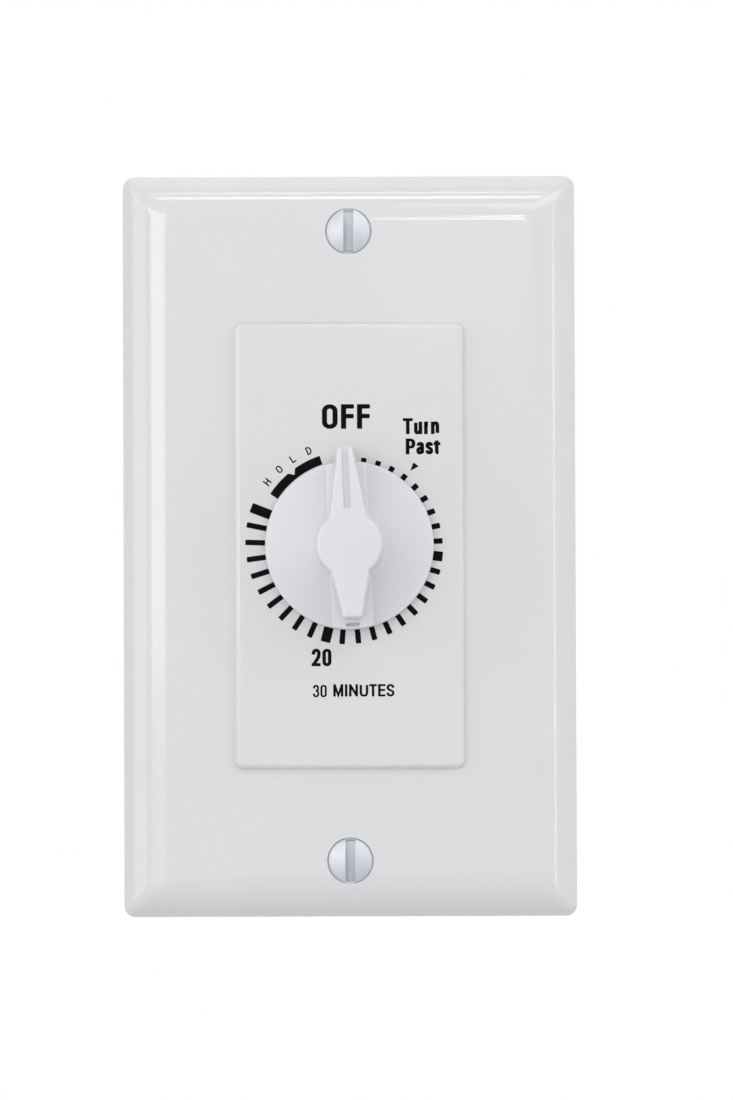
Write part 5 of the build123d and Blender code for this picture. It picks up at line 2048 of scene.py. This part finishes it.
@dataclass
class Studio:
    """The camera, the lamps, the world, the floor and the backdrop."""

    distance: float = 0.80
    right: float = 0.2
    below: float = 1.2
    roll: float = 0.2
    sensor: float = 36.0
    clip_start: float = 0.01
    frame_height: float = 0.1704
    shift: Point2 = (0.0154, -0.0033)
    ambient: float = 0.63
    dim: float = 0.22
    dim_side: Point3 = (-0.25, 0.95, -0.18)
    dim_range: Point2 = (-0.1, 0.9)
    stage_half: float = 1500.0
    stage_back: float = 900.0
    stage_floor: float = -320.0
    lamps: tuple[Softbox, ...] = (
        Softbox("left_softbox", (-25.0, 9.5), 0.9, (0.50, 0.35), 2.2),
        Softbox("left_low", (-25.0, -12.0), 0.9, (0.50, 0.34), 0.6),
        Softbox("left_side", (-70.0, 4.0), 1.0, (0.6, 0.9), 0.9),
        Softbox("upper_fill", (30.0, 36.0), 1.1, (0.9, 0.4), 1.45),
        Softbox("overhead_soft", (0.0, 100.0), 1.0, (0.9, 0.5), 0.5),
        Softbox("overhead_near", (0.0, 70.5), 1.0, (0.14, 0.06), 3.0),
        Softbox("overhead_far", (0.0, 58.2), 1.0, (0.14, 0.10), 4.4),
        Softbox("high_near", (3.5, 15.0), 1.0, (0.034, 0.036), 15.0),
        Softbox("high_far", (2.55, 10.2), 1.0, (0.064, 0.030), 10.0),
        Softbox("face_glow", (1.9, 6.2), 1.0, (0.05, 0.035), 0.45),
        Softbox("right_fill", (68.0, 4.0), 1.0, (1.5, 1.1), 0.3),
        Softbox("right_strip", (56.5, 8.0), 0.98, (0.022, 0.8), 6.5),
    )

    def camera(self) -> None:
        """Adds the camera, a little to the right of the switch and below it."""
        data = bpy.data.cameras.new("camera")
        data.sensor_fit = "VERTICAL"
        data.sensor_height = self.sensor
        data.lens = self.sensor * self.distance / self.frame_height
        data.shift_x, data.shift_y = self.shift
        data.clip_start = self.clip_start
        made = placed("camera", data)
        made.location = seen_from(self.right, -self.below, self.distance)
        aimed = (-made.location).to_track_quat("-Z", "Y").to_matrix()
        made.rotation_euler = (aimed @ Matrix.Rotation(radians(-self.roll), 3, "Z")).to_euler()
        bpy.context.scene.camera = made

    def world(self) -> None:
        """Lights everything softly, less from behind, and shows white behind the stage."""
        world = bpy.data.worlds.new("studio")
        world.use_nodes = True
        graph = Graph(world.node_tree)
        place = graph.node("ShaderNodeTexCoord").outputs["Generated"]
        inputs = {0: place, 1: self.dim_side}
        toward = graph.node("ShaderNodeVectorMath", {"operation": "DOT_PRODUCT"}, inputs)
        inputs = {0: toward.outputs["Value"], 1: self.dim_range[0], 2: self.dim_range[1]}
        fade = graph.value(graph.node("ShaderNodeMapRange", {"interpolation_type": "SMOOTHSTEP"}, inputs))
        level = self.ambient - fade * (self.ambient - self.dim)
        soft, white = (
            graph.node("ShaderNodeBackground", inputs={"Color": WHITE, "Strength": strength})
            for strength in (level, 1.0)
        )
        inputs = {0: graph.seen(), 1: soft.outputs[0], 2: white.outputs[0]}
        mixed = graph.node("ShaderNodeMixShader", inputs=inputs)
        graph.node("ShaderNodeOutputWorld", inputs={"Surface": mixed.outputs[0]})
        bpy.context.scene.world = world

    def stage(self) -> None:
        """Adds a pale floor below the switch and a backdrop behind it."""
        half, back, low = self.stage_half, self.stage_back, self.stage_floor
        floor = [(x, y, low) for x, y in box_outline(half, -half, back)]
        wall = [(x, back, z) for x, z in box_outline(half, low, half)]
        for name, corners, finish in (
            ("floor", floor, StageWhite("floor_white", 0.8, 0.55)),
            ("backdrop", wall, StageWhite("backdrop_white", 0.5, 1.0)),
        ):
            kit = MeshKit()
            kit.faces.append(tuple(kit.ring(corners)))
            mesh = kit.mesh(name)
            mesh.materials.append(finish.build())
            made = placed(name, mesh)

    def build(self) -> None:
        """Adds everything round the switch."""
        self.camera()
        self.world()
        self.stage()
        for lamp in self.lamps:
            lamp.build()


def main() -> None:
    """Dresses the switch and sets it in the studio."""
    logging.basicConfig(level=logging.INFO, format="%(name)s: %(message)s")
    bpy.context.scene.view_settings.view_transform = "Standard"
    shelf = FinishShelf()
    Studio().build()
    pieces = CadNodes(shelf).dress()
    for assembly in (WallPlate, PlateScrews, BoxScrews, Knob, DialPrint):
        pieces.append(assembly(shelf).build())
    for piece in pieces:
        LOG.info("%s: %d faces of %s", piece.name, len(piece.data.polygons), piece.data.materials[0].name)


if __name__ == "__main__":
    main()
